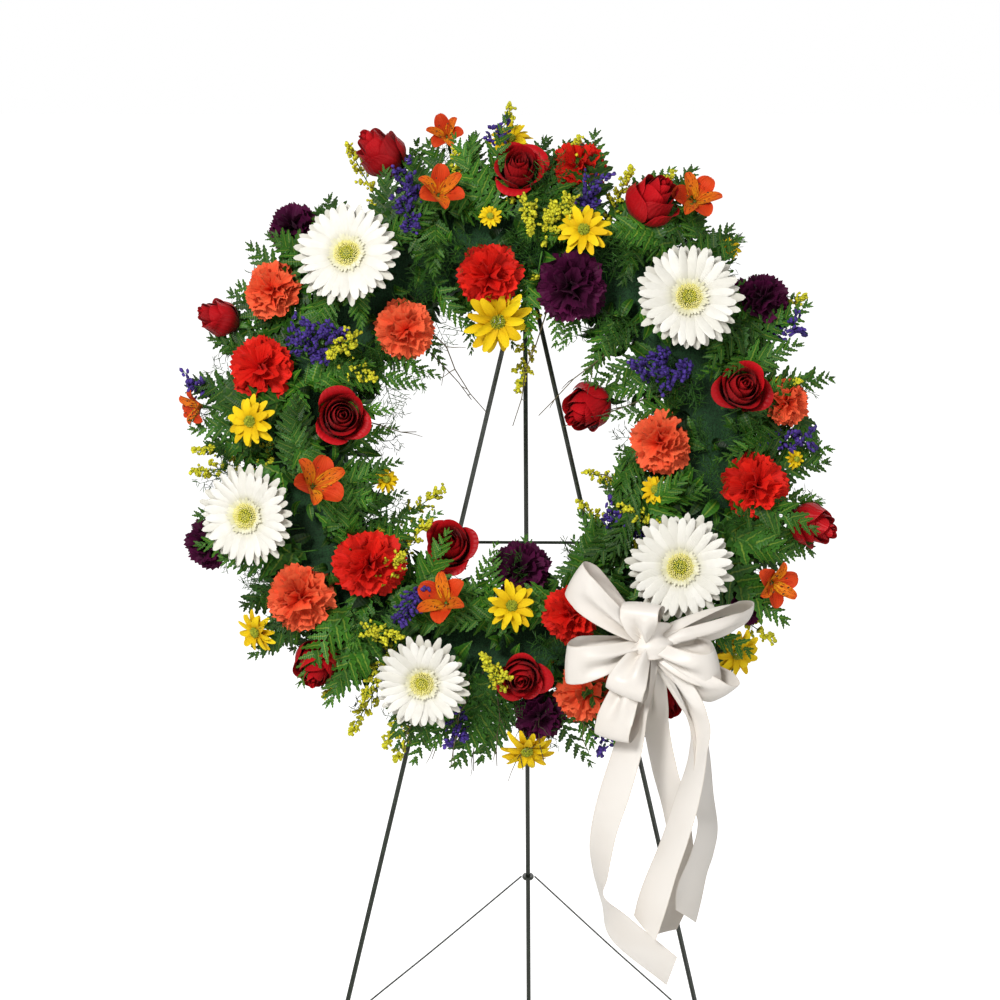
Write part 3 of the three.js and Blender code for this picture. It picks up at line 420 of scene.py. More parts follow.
@dataclass
class Shading:
    """One material while its nodes are added around its Principled shader."""

    name: str

    def __post_init__(self) -> None:
        """Starts the material with its shader alone."""
        self.material = bpy.data.materials.new(self.name)
        self.material.use_nodes = True
        self.tree = self.material.node_tree

    def parts(self) -> tuple[bpy.types.NodeSocket, bpy.types.NodeSocket, bpy.types.NodeSocket]:
        """The growth UV, its part across the piece and its part along it."""
        uv = add_node(self.tree, "UVMap", uv_map="growth").outputs[0]
        split = add_node(self.tree, "SeparateXYZ", {0: uv}).outputs
        return uv, split[0], split[1]

    def tone(self) -> bpy.types.NodeSocket:
        """The tone that each petal, leaf or grain was given."""
        return add_node(self.tree, "Attribute", attribute_name="tone").outputs["Fac"]

    def coords(self) -> bpy.types.NodeSocket:
        """Object coordinates, in metres."""
        return add_node(self.tree, "TexCoord").outputs["Object"]

    def noise(self, scale: float, detail: float) -> bpy.types.NodeSocket:
        """A noise in object space, with this many waves a metre."""
        inputs = {"Vector": self.coords(), "Scale": scale, "Detail": detail}
        return add_node(self.tree, "TexNoise", inputs).outputs[0]

    def ranged(
        self, value: bpy.types.NodeSocket, low: float, high: float, to_low: float = 0.0, to_high: float = 1.0
    ) -> bpy.types.NodeSocket:
        """A value carried from one range to another."""
        return add_node(self.tree, "MapRange", {0: value, 1: low, 2: high, 3: to_low, 4: to_high}).outputs[0]

    def worked(self, operation: str, *values: object) -> bpy.types.NodeSocket:
        """The result of a sum on values or sockets."""
        return add_node(self.tree, "Math", dict(enumerate(values)), operation=operation).outputs[0]

    def mixed(self, factor: object, first: object, second: object) -> bpy.types.NodeSocket:
        """Two colours mixed by a factor, each a hex colour or an output socket."""
        first, second = [linear(c) if isinstance(c, str) else c for c in (first, second)]
        return add_node(self.tree, "Mix", {0: factor, 6: first, 7: second}, data_type="RGBA").outputs[2]

    def done(
        self, colour: object, bump: tuple[float, float, bpy.types.NodeSocket], values: dict[str, object]
    ) -> bpy.types.Material:
        """Feeds the shader and returns the material.

        Args:
            colour: The base colour's socket.
            bump: The bump's strength, its distance in metres and its height.
            values: The shader's other inputs.

        Returns:
            The finished material.
        """
        bumped = add_node(self.tree, "Bump", dict(zip(("Strength", "Distance", "Height"), bump))).outputs[0]
        feed(self.tree, self.tree.nodes["Principled BSDF"], {"Base Color": colour, "Normal": bumped} | values)
        return self.material


@dataclass(frozen=True)
class PetalFinish:
    """Fresh petal, grown: thin cells over fine veins, so it is soft and hardly shines. Its colour
    runs from the claw to the rim. The dark claws of the roses and carnations are painted shade deep
    in the head; the gerberas' darker claws are partly their own base colour, partly painted shade.
    The tone of each petal mixes in the shade colour: at random, and on the gerberas' lower layer as
    painted shade under the upper one. Nine veins cross a petal, from 0.3 mm apart on small petals
    to 5 mm on roses, where real ones are finer. Blotches are about 11 mm wide."""

    name: str
    claw: str
    middle: str
    rim: str
    shade: str
    streak: str = ""
    roughness: float = 0.62
    sheen: float = 0.02
    vein_count: float = 9.0

    def make(self) -> bpy.types.Material:
        """Makes the material: a ramp along the petal, darkened by tone, with veins along it."""
        s = Shading(self.name)
        uv, across, along = s.parts()
        # dark claws on roses and carnations are painted shade deep in the head; on gerberas they are partly the
        # petal's own colour
        colour = ramp(s.tree, along, [(0.0, self.claw), (0.42, self.middle), (1.0, self.rim)])
        # tone mixes in the shade colour at random, and as painted shade on the gerberas' lower layer
        colour = s.mixed(s.tone(), colour, self.shade)
        veins = s.worked("SINE", s.worked("MULTIPLY", across, self.vein_count * 2 * math.pi))
        if self.streak:
            spots = add_node(s.tree, "Mapping", {0: uv, 3: (9.0, 3.2, 1.0)}).outputs[0]
            inputs = {"Vector": spots, "Scale": 1.6, "Detail": 1.0}
            mask = s.ranged(add_node(s.tree, "TexNoise", inputs).outputs[0], 0.6, 0.64)
            colour = s.mixed(mask, colour, self.streak)
        colour = s.mixed(s.ranged(s.noise(90.0, 3.0), 0.3, 0.75, 0.0, 0.22), colour, self.shade)
        values = {"Roughness": self.roughness, "Sheen Weight": self.sheen, "Specular IOR Level": 0.16}
        return s.done(colour, (0.25, 0.0006, veins), values)


@dataclass(frozen=True)
class LeafFinish:
    """Fresh leaf, grown: a waxy skin over green cells, with a pale midrib and shade between. Side
    veins stand about ten along a leaflet, 1 to 4 mm apart; the shade changes over about 40 mm. On
    the fern the edge colour is lighter than the blade: a painted highlight along the leaflets' margins."""

    name: str
    rib: str
    blade: str
    edge: str
    shade: str
    roughness: float = 0.5

    def make(self) -> bpy.types.Material:
        """Makes the material: rib to edge across the leaf, shaded by tone and a coarse noise."""
        s = Shading(self.name)
        _, across, along = s.parts()
        from_rib = s.worked("ABSOLUTE", s.worked("SUBTRACT", across, 0.5))
        # on the fern the lighter edge colour is a painted highlight along the leaflets' margins
        colour = ramp(s.tree, from_rib, [(0.0, self.rib), (0.12, self.blade), (0.5, self.edge)])
        colour = s.mixed(s.tone(), colour, self.shade)
        colour = s.mixed(s.ranged(s.noise(26.0, 3.0), 0.45, 0.75, 0.0, 0.55), colour, self.shade)
        veins = s.worked("SINE", s.worked("MULTIPLY", along, 60.0))
        return s.done(colour, (0.3, 0.0004, veins), {"Roughness": self.roughness, "Specular IOR Level": 0.22})


@dataclass(frozen=True)
class GrainFinish:
    """Pollen, buds, florets and bark: many dry grains, each a little lighter or darker than the
    next. The bump has the grain's own size, 0.8 to 2 mm."""

    name: str
    light: str
    dark: str
    grain_mm: float

    def make(self) -> bpy.types.Material:
        """Makes the material: tone from light to dark, with a bump at the grain's own size."""
        s = Shading(self.name)
        colour = ramp(s.tree, s.tone(), [(0.0, self.light), (1.0, self.dark)])
        grain = s.noise(1000 / self.grain_mm / 2, 2.0)
        colour = s.mixed(s.ranged(grain, 0.4, 0.7, 0.0, 0.5), colour, self.dark)
        return s.done(colour, (0.5, 0.0005, grain), {"Roughness": 0.8})


@dataclass(frozen=True)
class RibbonFinish:
    """Double-faced satin ribbon, woven: long floats of polyester thread along its length give a
    soft sheen that runs across it, and each edge has a tight selvedge about 1 mm wide. Real
    threads are finer; they are drawn 0.5 mm apart so that they show. The fold colour is painted
    shade: each ribbon's tone mixes it in the more that ribbon faces away from the front. A coarse
    noise also mixes it in at random, and the selvedges take it as their own darker colour."""

    name: str = "ivory_double_faced_satin"
    face: str = "#ece7e0"
    # painted shade colour, mixed in by tone on ribbons that face away; also the selvedges' own colour
    fold: str = "#cdc1b2"
    thread_mm: float = 0.5

    def make(self) -> bpy.types.Material:
        """Makes the material: a sine wave of threads across the UV width, darker selvedges, and painted shade from
        the ribbon's tone.
        """
        s = Shading(self.name)
        _, across, _ = s.parts()
        thread = s.worked("SINE", s.worked("MULTIPLY", across, RIBBON_WIDTH / self.thread_mm * 2 * math.pi))
        edge = s.worked("ABSOLUTE", s.worked("SUBTRACT", across, 0.5))
        # painted shade: the tone, higher the more a ribbon faces away from the front, mixes in the fold colour
        colour = s.mixed(s.tone(), self.face, self.fold)
        colour = s.mixed(s.ranged(s.noise(18.0, 2.0), 0.4, 0.75, 0.0, 0.25), colour, self.fold)
        colour = s.mixed(s.ranged(edge, 0.468, 0.485, 0.0, 0.55), colour, self.fold)
        values = {"Roughness": 0.36, "Anisotropic": 0.35, "Sheen Weight": 0.25, "Specular IOR Level": 0.5}
        return s.done(colour, (0.12, 0.0002, thread), values)


@dataclass(frozen=True)
class WireFinish:
    """Drawn steel wire dipped in dark green enamel: an even gloss coat, thin at the bends, that
    has dulled and picked up fine scuffs about 3 mm long."""

    name: str = "green_enamelled_wire"
    coat: str = "#151d10"
    worn: str = "#2c3a26"
    scuff_mm: float = 3.0

    def make(self) -> bpy.types.Material:
        """Makes the material: scuffs along the wire change its colour and its roughness."""
        s = Shading(self.name)
        scuff = s.noise(1000 / self.scuff_mm, 4.0)
        colour = s.mixed(s.ranged(scuff, 0.52, 0.74, 0.0, 0.8), self.coat, self.worn)
        values = {"Roughness": s.ranged(scuff, 0.3, 0.7, 0.28, 0.55), "Coat Weight": 0.3}
        return s.done(colour, (0.2, 0.0002, scuff), values)


@dataclass(frozen=True)
class FoamFinish:
    """Phenolic floral foam, blown: an open-celled green foam, soaked dark, that crumbles where
    stems go in. The cells are drawn 1.6 mm wide so that they show."""

    name: str = "soaked_floral_foam"
    skin: str = "#1f4a24"
    pore: str = "#0d2410"
    pore_mm: float = 1.6

    def make(self) -> bpy.types.Material:
        """Makes the material: pores from a cell pattern, over a coarse soaked shade."""
        s = Shading(self.name)
        inputs = {"Vector": s.coords(), "Scale": 1000 / self.pore_mm}
        cells = add_node(s.tree, "TexVoronoi", inputs).outputs["Distance"]
        colour = s.mixed(s.ranged(cells, 0.1, 0.6), self.pore, self.skin)
        colour = s.mixed(s.ranged(s.noise(22.0, 3.0), 0.4, 0.7, 0.0, 0.6), colour, self.pore)
        return s.done(colour, (0.6, 0.0008, cells), {"Roughness": 0.9})


@dataclass(frozen=True)
class TrayFinish:
    """Polystyrene tray, vacuum formed in dark green: smooth, with the faint pull marks of the
    forming, about 9 mm wide, and a soft gloss."""

    name: str = "green_formed_polystyrene"
    body: str = "#17351c"
    mark: str = "#264b2a"
    mark_mm: float = 9.0

    def make(self) -> bpy.types.Material:
        """Makes the material: broad pull marks in colour, gloss and bump."""
        s = Shading(self.name)
        marks = s.noise(1000 / self.mark_mm, 2.0)
        colour = s.mixed(s.ranged(marks, 0.4, 0.7), self.body, self.mark)
        return s.done(colour, (0.15, 0.0004, marks), {"Roughness": s.ranged(marks, 0.3, 0.7, 0.3, 0.42)})


@dataclass
class Piece:
    """One object of the scene, gathered from patches in the face frame and built at the end."""

    name: str
    finishes: list[bpy.types.Material]
    body: str = "stand"
    replaces: tuple[str, ...] = ()
    slot: str = ""
    patches: list[Patch] = field(default_factory=list)

    def add(self, patch: Patch) -> None:
        """Adds a patch."""
        self.patches.append(patch)

    def build(self) -> bpy.types.Object:
        """A face whose last two corners are the same point becomes a triangle.

        Returns:
            The object.
        """
        starts = np.cumsum([0] + [len(p.points) for p in self.patches])
        points = np.concatenate([p.points for p in self.patches])
        faces = np.concatenate([p.faces + s for p, s in zip(self.patches, starts)])
        uv = np.concatenate([p.uv for p in self.patches])
        tone = np.concatenate([p.tone for p in self.patches])
        finish = np.concatenate([np.full(len(p.faces), p.finish) for p in self.patches])
        keep = np.ones(faces.shape, bool)
        keep[:, 3] = faces[:, 2] != faces[:, 3]
        corners, sizes = faces[keep], keep.sum(axis=1)
        mesh = bpy.data.meshes.new(self.name)
        mesh.vertices.add(len(points))
        mesh.vertices.foreach_set("co", to_row(points).astype(np.float32).ravel())
        mesh.loops.add(len(corners))
        mesh.loops.foreach_set("vertex_index", corners.astype(np.int32))
        mesh.polygons.add(len(faces))
        mesh.polygons.foreach_set("loop_start", (np.cumsum(sizes) - sizes).astype(np.int32))
        mesh.polygons.foreach_set("material_index", finish.astype(np.int32))
        mesh.uv_layers.new(name="growth").data.foreach_set("uv", uv[corners].astype(np.float32).ravel())
        mesh.attributes.new("tone", "FLOAT", "POINT").data.foreach_set("value", tone.astype(np.float32))
        mesh.update(calc_edges=True)
        mesh.polygons.foreach_set("use_smooth", np.ones(len(faces), bool))
        mesh.set_sharp_from_angle(angle=math.radians(100))
        for material in self.finishes:
            mesh.materials.append(material)
        thing = bpy.data.objects.new(self.name, mesh)
        bpy.context.scene.collection.objects.link(thing)
        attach(thing, self.body)
        if self.replaces:
            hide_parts(*self.replaces)
        log.info("%s: %d faces", self.name, len(faces))
        return thing


def strap_petals(
    angles: np.ndarray,
    inner: float,
    reach: np.ndarray,
    width: np.ndarray,
    rise: np.ndarray,
    droop: np.ndarray,
    cup: float,
    steps: tuple[int, int] = (8, 5),
    point: float = 0.5,
    roll: np.ndarray | float = 0.0,
) -> np.ndarray:
    """Petals that radiate flat from a ring. Along v, the distance out runs from inner to reach and
    the height is rise times v less droop times v cubed. Across u, the half width is a sine hump
    raised to a power, and the height gains cup times u squared, a ripple of three ridges, and roll
    times the distance aside.

    Args:
        angles: Direction of each petal in radians.
        inner: Distance out of the claws in millimetres.
        reach: Distance out of each tip.
        width: Greatest half width of each petal.
        rise: Height gained along each petal.
        droop: Height lost at each tip.
        cup: Height of the long edges over the midrib.
        steps: Steps along and across.
        point: Power of the width's hump: low is blunt, high is pointed.
        roll: Slope of each petal across its length.

    Returns:
        Grids of shape (petals, steps along, steps across, 3).
    """
    v = np.linspace(0, 1, steps[0])[None, :, None]
    u = np.linspace(-1, 1, steps[1])[None, None, :]
    a, far, wide, up, down, lean = [
        np.asarray(x, float).reshape(-1, 1, 1) for x in (angles, reach, width, rise, droop, roll)
    ]
    hump = np.sin(math.pi * (0.1 + 0.84 * v**0.85)) ** point
    out = inner + (far - inner) * (v - 0.05 * v**4 * np.abs(u))
    side = wide * hump * u
    high = up * v - down * v**3 + cup * u**2 * hump + 0.07 * wide * np.cos(3 * math.pi * u) * v + lean * side
    return around_axis(out, side, high, a)


def ring_of(count: int, rng: np.random.Generator, turn: float = 0.0, loose: float = 0.12) -> np.ndarray:
    """Angles of a whorl, evenly spaced but for a little looseness."""
    step = 2 * math.pi / count
    return (np.arange(count) + turn + rng.uniform(-loose, loose, count)) * step


def dome_grains(
    rng: np.random.Generator, count: int, radius: float, high: float, grain: float
) -> tuple[np.ndarray, np.ndarray]:
    """Places on a low dome in a sunflower spiral: the distance out grows as a square root.

    Args:
        rng: Random generator.
        count: How many places.
        radius: Radius of the dome.
        high: Height of its middle.
        grain: Random shift of each place.

    Returns:
        The places and the directions there.
    """
    t = np.sqrt((np.arange(count) + 0.5) / count)
    a = np.arange(count) * GOLDEN_ANGLE
    places = np.stack([t * radius * np.cos(a), t * radius * np.sin(a), high * (1 - t**2)], -1)
    axes = unit(np.stack([t * np.cos(a) * 0.7, t * np.sin(a) * 0.7, np.ones(count)], -1))
    return places + rng.normal(0, grain, (count, 3)), axes


class Kind(Enum):
    """The kinds of bloom that have a stem in the foam: the name's start and the petals' slot."""

    GERBERA = ("gerbera", "white_petals")
    ROSE = ("rose", "red_rose_petals")
    RED_CARNATION = ("red_carnation", "red_carnation_petals")
    CORAL_CARNATION = ("coral_carnation", "coral_carnation_petals")
    BURGUNDY_CARNATION = ("burgundy_carnation", "burgundy_carnation_petals")

    def depth(self, radius: float) -> float:
        """Depth of a head of a radius, in millimetres."""
        if self is Kind.GERBERA:
            return 11.0
        return radius * (1.75 if self is Kind.ROSE else 1.3)


@dataclass(frozen=True)
class Bloom:
    """A bloom of the CAD frame: its node, its place in the front view and its radius."""

    name: str
    kind: Kind
    view: tuple[float, float]
    radius: float
    sink: float = 0.0
    aim: tuple[float, float, float] | None = None

    def base(self) -> tuple[np.ndarray, np.ndarray, np.ndarray]:
        """Where the head starts, the way it faces, and where its stem enters the foam."""
        (x, y), radius, foot = stem_foot(self.view, 170, 210.5, 30.0)
        facing = unit(np.array(self.aim)) if self.aim else dome_normal(x, y)
        depth = self.kind.depth(self.radius)
        middle = np.array([x, y, face_height(radius) - self.sink - depth / 2])
        return middle - facing * depth / 2, facing, foot


# The dark claws of the roses and carnations are painted shade deep in each head; the gerberas' darker claws are
# partly their own base colour, partly painted shade.
PALETTE = {
    "gerbera": PetalFinish("gerbera_white_petal", "#d3cfa8", "#efece3", "#f8f6ef", "#c2beac"),
    "gerbera_inner": PetalFinish("gerbera_inner_petal", "#d8d48c", "#ebe7c8", "#f4f0dc", "#c4c08c"),
    "gerbera_eye": GrainFinish("gerbera_disc_floret", "#f6eea8", "#d6d042", 1.6),
    "rose": PetalFinish("rose_red_petal", "#4c0408", "#ac0a12", "#cc121c", "#5c0409", roughness=0.46, sheen=0.03),
    "red_carnation": PetalFinish("carnation_red_petal", "#6e0404", "#dc100a", "#f02a18", "#9a0606"),
    "coral_carnation": PetalFinish("carnation_coral_petal", "#b0260c", "#f04a24", "#fb7448", "#cc3c1c"),
    "burgundy_carnation": PetalFinish("carnation_burgundy_petal", "#12010b", "#380526", "#5a0b3f", "#180110"),
    "daisy": PetalFinish("daisy_yellow_petal", "#c79c00", "#eecb08", "#f6dc1c", "#cf9c00"),
    "daisy_eye": GrainFinish("daisy_disc_floret", "#b9bd2a", "#7c8a16", 1.2),
    "lily": PetalFinish("alstroemeria_outer_petal", "#dc8a1a", "#d63c0e", "#de4c18", "#9c240a"),
    "lily_inner": PetalFinish("alstroemeria_inner_petal", "#f4c822", "#ec901a", "#dc4e14", "#b83a0c", "#5a1a0a"),
    "anther": GrainFinish("dry_pollen", "#7a4a1c", "#3c200c", 0.8),
    "goldenrod": GrainFinish("goldenrod_bud", "#ece62c", "#aeac1a", 1.0),
    "statice": GrainFinish("statice_papery_calyx", "#5438a0", "#241458", 1.0),
    "stem": LeafFinish("green_stem", "#6a9438", "#44742a", "#44742a", "#28501a"),
    "sepal": LeafFinish("green_calyx", "#6f9a4a", "#4c7a30", "#3c6a26", "#274c1c"),
    # the fern's edge colour, lighter than its blade, is a painted highlight on the margins
    "fern": LeafFinish("leatherleaf_fern", "#8caa38", "#2f6a17", "#4a8622", "#081a04", 0.45),
    "plumosus": LeafFinish("plumosus_needle", "#4c7826", "#2d5c18", "#2d5c18", "#12300c", 0.55),
    "twig": GrainFinish("dry_twig_bark", "#6b6040", "#3a3322", 2.0),
    "ribbon": RibbonFinish(),
    "wire": WireFinish(),
    "foam": FoamFinish(),
    "tray": TrayFinish(),
}


class Finishes(dict):
    """Every material, made once, by its short name in the palette."""

    def __init__(self) -> None:
        """Makes them all."""
        super().__init__({name: finish.make() for name, finish in PALETTE.items()})

    def some(self, names: str) -> list[bpy.types.Material]:
        """The materials of some names with spaces between, in that order."""
        return [self[name] for name in names.split()]


@dataclass
class Head:
    """The head of a bloom, drawn from its base along +z."""

    bloom: Bloom
    looks: ClassVar[str]

    def patches(self) -> list[Patch]:
        """The head's patches; their finish numbers follow the looks."""
        raise NotImplementedError


class Gerbera(Head):
    """A gerbera head: two layers of strap petals, a short inner layer and a dome of florets."""

    looks = "gerbera gerbera_inner gerbera_eye sepal"
    petals = 27
    inner_petals = 34
    florets = 190

    def patches(self) -> list[Patch]:
        """The two layers, the inner layer, the florets of the disc and the green bowl below."""
        r = self.bloom.radius
        rng = seeded(self.bloom.name)
        patches = []
        for layer, (share, lift, dip) in enumerate([(0.99, 5.2, 3.6), (0.9, 7.6, 1.4)]):
            n = self.petals
            angles = ring_of(n, rng, 0.5 * layer)
            grids = strap_petals(
                angles, r * 0.16, r * share * rng.uniform(0.88, 1.0, n), r * rng.uniform(0.09, 0.116, n),
                lift + rng.uniform(-1.4, 1.4, n), dip + rng.uniform(-2.2, 1.6, n), -r * 0.02, (8, 7), 0.5,
                rng.uniform(-0.28, 0.28, n),
            )
            grids[..., 2] += 1.8 + 2.2 * layer
            # the lower layer, layer 0, takes 0.3 more tone: painted shade under the upper layer
            patches.append(leaf_solids(grids, 0.55, rng.uniform(0, 0.3, n) + 0.3 * (1 - layer)))
        n = self.inner_petals
        short = strap_petals(
            ring_of(n, rng), r * 0.17, r * rng.uniform(0.3, 0.37, n), r * 0.035, rng.uniform(3.2, 4.6, n), 0.6,
            0.3, (5, 3), 0.6,
        )
        short[..., 2] += 5.4
        patches.append(leaf_solids(short, 0.4, rng.uniform(0, 0.5, n), 1))
        n, disc = self.florets, r * 0.225
        places, axes = dome_grains(rng, n, disc, 2.6, 0.18)
        share = np.hypot(places[:, 0], places[:, 1]) / disc
        size = np.stack([0.72 + 0.12 * share, 1.6 + 1.5 * (share > 0.62)], -1)
        tones = np.where(share > 0.55, rng.uniform(0, 0.2, n), np.where(share < 0.3, 0.7, 0.95))
        patches.append(grains(places + [0, 0, 5.6], axes, size, tones, 2))
        patches.append(stalk((-1.2, 1.2, 3.4, 5.4), (2.4, 5.2, r * 0.19, r * 0.2), 20, 0.2, 3))
        return patches


class Rose(Head):
    """A half-open rose: cupped petals in a golden-angle spiral round a tight heart."""

    looks = "rose sepal"
    petals = 18
    sepals = 5

    def patches(self) -> list[Patch]:
        """Along v a petal climbs from the base, bellies out to its own radius and rolls outward at
        the rim, or closes over the heart if it is an inner one; across u it wraps part of the way
        round the axis, and its rim drops towards a soft point. Five sepals and a hip are below."""
        closed = 1.0 if self.bloom.aim and self.bloom.aim[2] < 0.8 else 0.0
        r = self.bloom.radius * (1.05 + 0.12 * closed)
        depth = self.bloom.kind.depth(r)
        rng = seeded(self.bloom.name)
        n = self.petals
        t = (np.arange(n) / (n - 1))[:, None, None]
        v = np.linspace(0, 1, 9)[None, :, None]
        u = np.linspace(-1, 1, 11)[None, None, :]
        jitter = rng.uniform(-1, 1, (4, n, 1, 1))
        turn = (np.arange(n) * GOLDEN_ANGLE)[:, None, None] + 0.15 * jitter[0]
        own = r * (0.07 + 0.74 * t**0.85) * (1 + 0.04 * jitter[1])
        high = depth * (0.93 + 0.03 * jitter[2]) * (1 - 0.3 * t**2)
        wrap = (2.3 - 1.25 * t) * (0.6 + 0.4 * np.sin(math.pi * v**0.75))
        roll = r * (0.3 - 0.16 * closed) * smooth((t - 0.45) / 0.55) * (1 + 0.35 * jitter[3])
        belly = np.sin(math.pi / 2 * np.clip(v * 1.6, 0, 1)) ** 0.9
        lip = smooth((v - 0.66) / 0.34)
        shut = 1 - (0.36 * (1 - t) + 0.2 * closed) * smooth((v - 0.35) / 0.65)
        wave = 1 + 0.04 * np.sin(3.0 * u + 5 * jitter[0]) * v
        out = (0.16 * r * (1 - belly) + own * belly * shut) * wave + roll * lip * (1 - 0.55 * u**2)
        z = high * (1 + 0.14 * closed) * v**0.92 * (1 - 0.13 * u**2 * v) - roll * 0.8 * lip**2 * (1 - 0.4 * u**2)
        angle = turn + wrap * u + 0.25 * (1 - t) * v
        grids = np.stack([out * np.cos(angle), out * np.sin(angle), z + 0 * angle], -1)
        patches = [leaf_solids(grids, 0.5, rng.uniform(0, 0.45, n))]
        n = self.sepals
        sepals = strap_petals(
            ring_of(n, rng), r * 0.08, r * 0.72, r * 0.13, r * 0.28, r * 0.5, 0.8, (7, 3), 0.9
        )
        sepals[..., 2] -= 0.6
        patches.append(leaf_solids(sepals, 0.5, rng.uniform(0, 0.4, n), 1))
        patches.append(stalk((-5.5, -2.5, 0.5, 3.0), (2.2, r * 0.17, r * 0.25, r * 0.2), 12, 0.1, 1))
        return patches


class Carnation(Head):
    """A full carnation: fans of petals with ruffled, toothed rims, packed into a dome."""

    petals = 38

    @property
    def looks(self) -> str:
        """The petals' own colour and the green of the cup."""
        return f"{self.bloom.kind.value[0]} sepal"

    def patches(self) -> list[Patch]:
        """Each petal climbs from the cup and bends over to its own angle on a dome, where its
        reach is the polar radius of a half ellipsoid; its width grows with v to a power, every
        second point of its rim is drawn in, and waves across u, stronger to the rim, fold it
        along its normal."""
        r = self.bloom.radius
        depth = self.bloom.kind.depth(r)
        rng = seeded(self.bloom.name)
        n = self.petals
        share = np.sqrt((np.arange(n) + 0.4) / n)[:, None, None]
        v = np.linspace(0, 1, 6)[None, :, None]
        u = np.linspace(-1, 1, 11)[None, None, :]
        zigzag = (-1.0) ** np.arange(11)[None, None, :]
        jitter = rng.uniform(-1, 1, (6, n, 1, 1))
        turn = (np.arange(n) * GOLDEN_ANGLE)[:, None, None] + 0.4 * jitter[0]
        tilt = np.maximum(share * 1.46 + 0.2 * jitter[2], 0.02)
        bend = tilt * smooth(v * 1.1)
        dome = 1 / np.sqrt((np.sin(bend) / (0.97 * r)) ** 2 + (np.cos(bend) / (0.8 * depth)) ** 2)
        teeth = 0.045 * zigzag * smooth((v - 0.7) / 0.3)
        reach = dome * v * (1 + 0.08 * jitter[3] - teeth - 0.2 * np.abs(u) ** 2.2 * v)
        wide = r * (0.1 + 0.35 * v**1.5) * (1 - 0.3 * (1 - share))
        folds = np.sin(u * (4.4 + jitter[5]) + 3.1 * jitter[4]) + 0.35 * np.sin(u * 9.5 + 5 * jitter[1])
        ruffle = r * 0.115 * v**1.6 * folds + r * 0.02 * v**2 * zigzag
        twist = 0.9 * jitter[1] * (1 - 0.5 * share)
        side = wide * u
        out = reach * np.sin(bend) + ruffle * np.cos(bend) + side * np.sin(twist) * 0.5
        aside = side * np.cos(twist)
        up = depth * 0.14 + reach * np.cos(bend) - ruffle * np.sin(bend)
        patches = [leaf_solids(around_axis(out, aside, up, turn), 0.4, rng.uniform(0, 0.5, n))]
        patches.append(stalk((-7.0, -4.5, 1.0, depth * 0.3), (2.0, r * 0.14, r * 0.2, r * 0.24), 12, 0.15, 1))
        return patches


def bloom_piece(bloom: Bloom, finishes: Finishes) -> Piece:
    """A bloom with its head on its own stem, in place of its CAD node.

    Args:
        bloom: The bloom.
        finishes: The materials.

    Returns:
        The piece, not yet built.
    """
    head = {Kind.GERBERA: Gerbera, Kind.ROSE: Rose}.get(bloom.kind, Carnation)(bloom)
    base, facing, foot = bloom.base()
    looks = f"{head.looks} stem"
    piece = Piece(bloom.name, finishes.some(looks), replaces=(bloom.name,), slot=bloom.kind.value[1])
    turn = turn_to(facing, float(seeded(bloom.name + "_spin").uniform(0, 6)))
    for patch in head.patches():
        piece.add(placed(patch, base, turn))
    knots = [base + facing * 1.5, base - facing * 9, (base - facing * 9 + foot) / 2 + facing * 2, foot]
    piece.add(tube(spline(np.stack(knots), 9), np.linspace(2.1, 1.9, 9), 8, 0.2, len(looks.split()) - 1))
    return piece


@dataclass(frozen=True)
class SmallFlower:
    """A small flower of the greens: its place in the front view, its radius and how deep it sits."""

    view: tuple[float, float]
    radius: float
    sink: float = 0.0

    def seat(self) -> tuple[np.ndarray, np.ndarray, np.ndarray]:
        """The flower's middle, the way it faces, and its stem's root on the foam."""
        (x, y), radius, foot = stem_foot(self.view, *STEM_BAND, STEM_FOOT_Z)
        return np.array([x, y, face_height(radius) - self.sink - 6]), dome_normal(x, y), foot


def stem_to(root: np.ndarray, tip: np.ndarray, away: np.ndarray, steps: int = 7) -> np.ndarray:
    """A stem's path that rises from its root and bends to meet a tip along a direction."""
    reach = float(np.linalg.norm(tip - root))
    knots = np.stack([root, root + [0, 0, 0.3 * reach], tip - away * 0.25 * reach, tip])
    return spline(knots, steps)


@dataclass
class Daisies:
    """Yellow spray daisies: two whorls of blunt petals round a green-gold disc."""

    finishes: Finishes
    flowers: tuple[SmallFlower, ...]

    def piece(self, number: int) -> Piece:
        """The daisy of a number, on its stem."""
        f = self.finishes
        flower = self.flowers[number]
        middle, facing, root = flower.seat()
        r = flower.radius
        rng = seeded(f"daisy_{number}")
        piece = Piece(f"daisy_{number + 1}", [f["daisy"], f["daisy_eye"], f["stem"]])
        turn = turn_to(facing + rng.uniform(-0.16, 0.16, 3), rng.uniform(0, 6))
        for layer, count in enumerate((12, 9)):
            angles = ring_of(count, rng, 0.5 * layer)
            grids = strap_petals(
                angles, r * 0.1, r * (1 - 0.14 * layer) * rng.uniform(0.82, 1.04, count),
                r * rng.uniform(0.125, 0.16, count), r * (0.12 + 0.16 * layer) + rng.uniform(-1.2, 1.2, count),
                r * rng.uniform(0.0, 0.28, count), r * 0.07, (7, 5), 0.5, rng.uniform(-0.35, 0.35, count),
            )
            grids[..., 2] -= 1.5 - 1.2 * layer
            piece.add(placed(leaf_solids(grids, 0.45, rng.uniform(0, 0.6, count)), middle, turn))
        places, axes = dome_grains(rng, 90, r * 0.2, 2.4, 0.2)
        size = np.tile([0.75, 1.5], (90, 1))
        piece.add(placed(grains(places + [0, 0, 1.6], axes, size, rng.uniform(0, 1, 90), 1), middle, turn))
        path = stem_to(root, middle, facing)
        piece.add(tube(path, np.linspace(1.3, 1.1, 7), 6, 0.2, 2))
        return piece


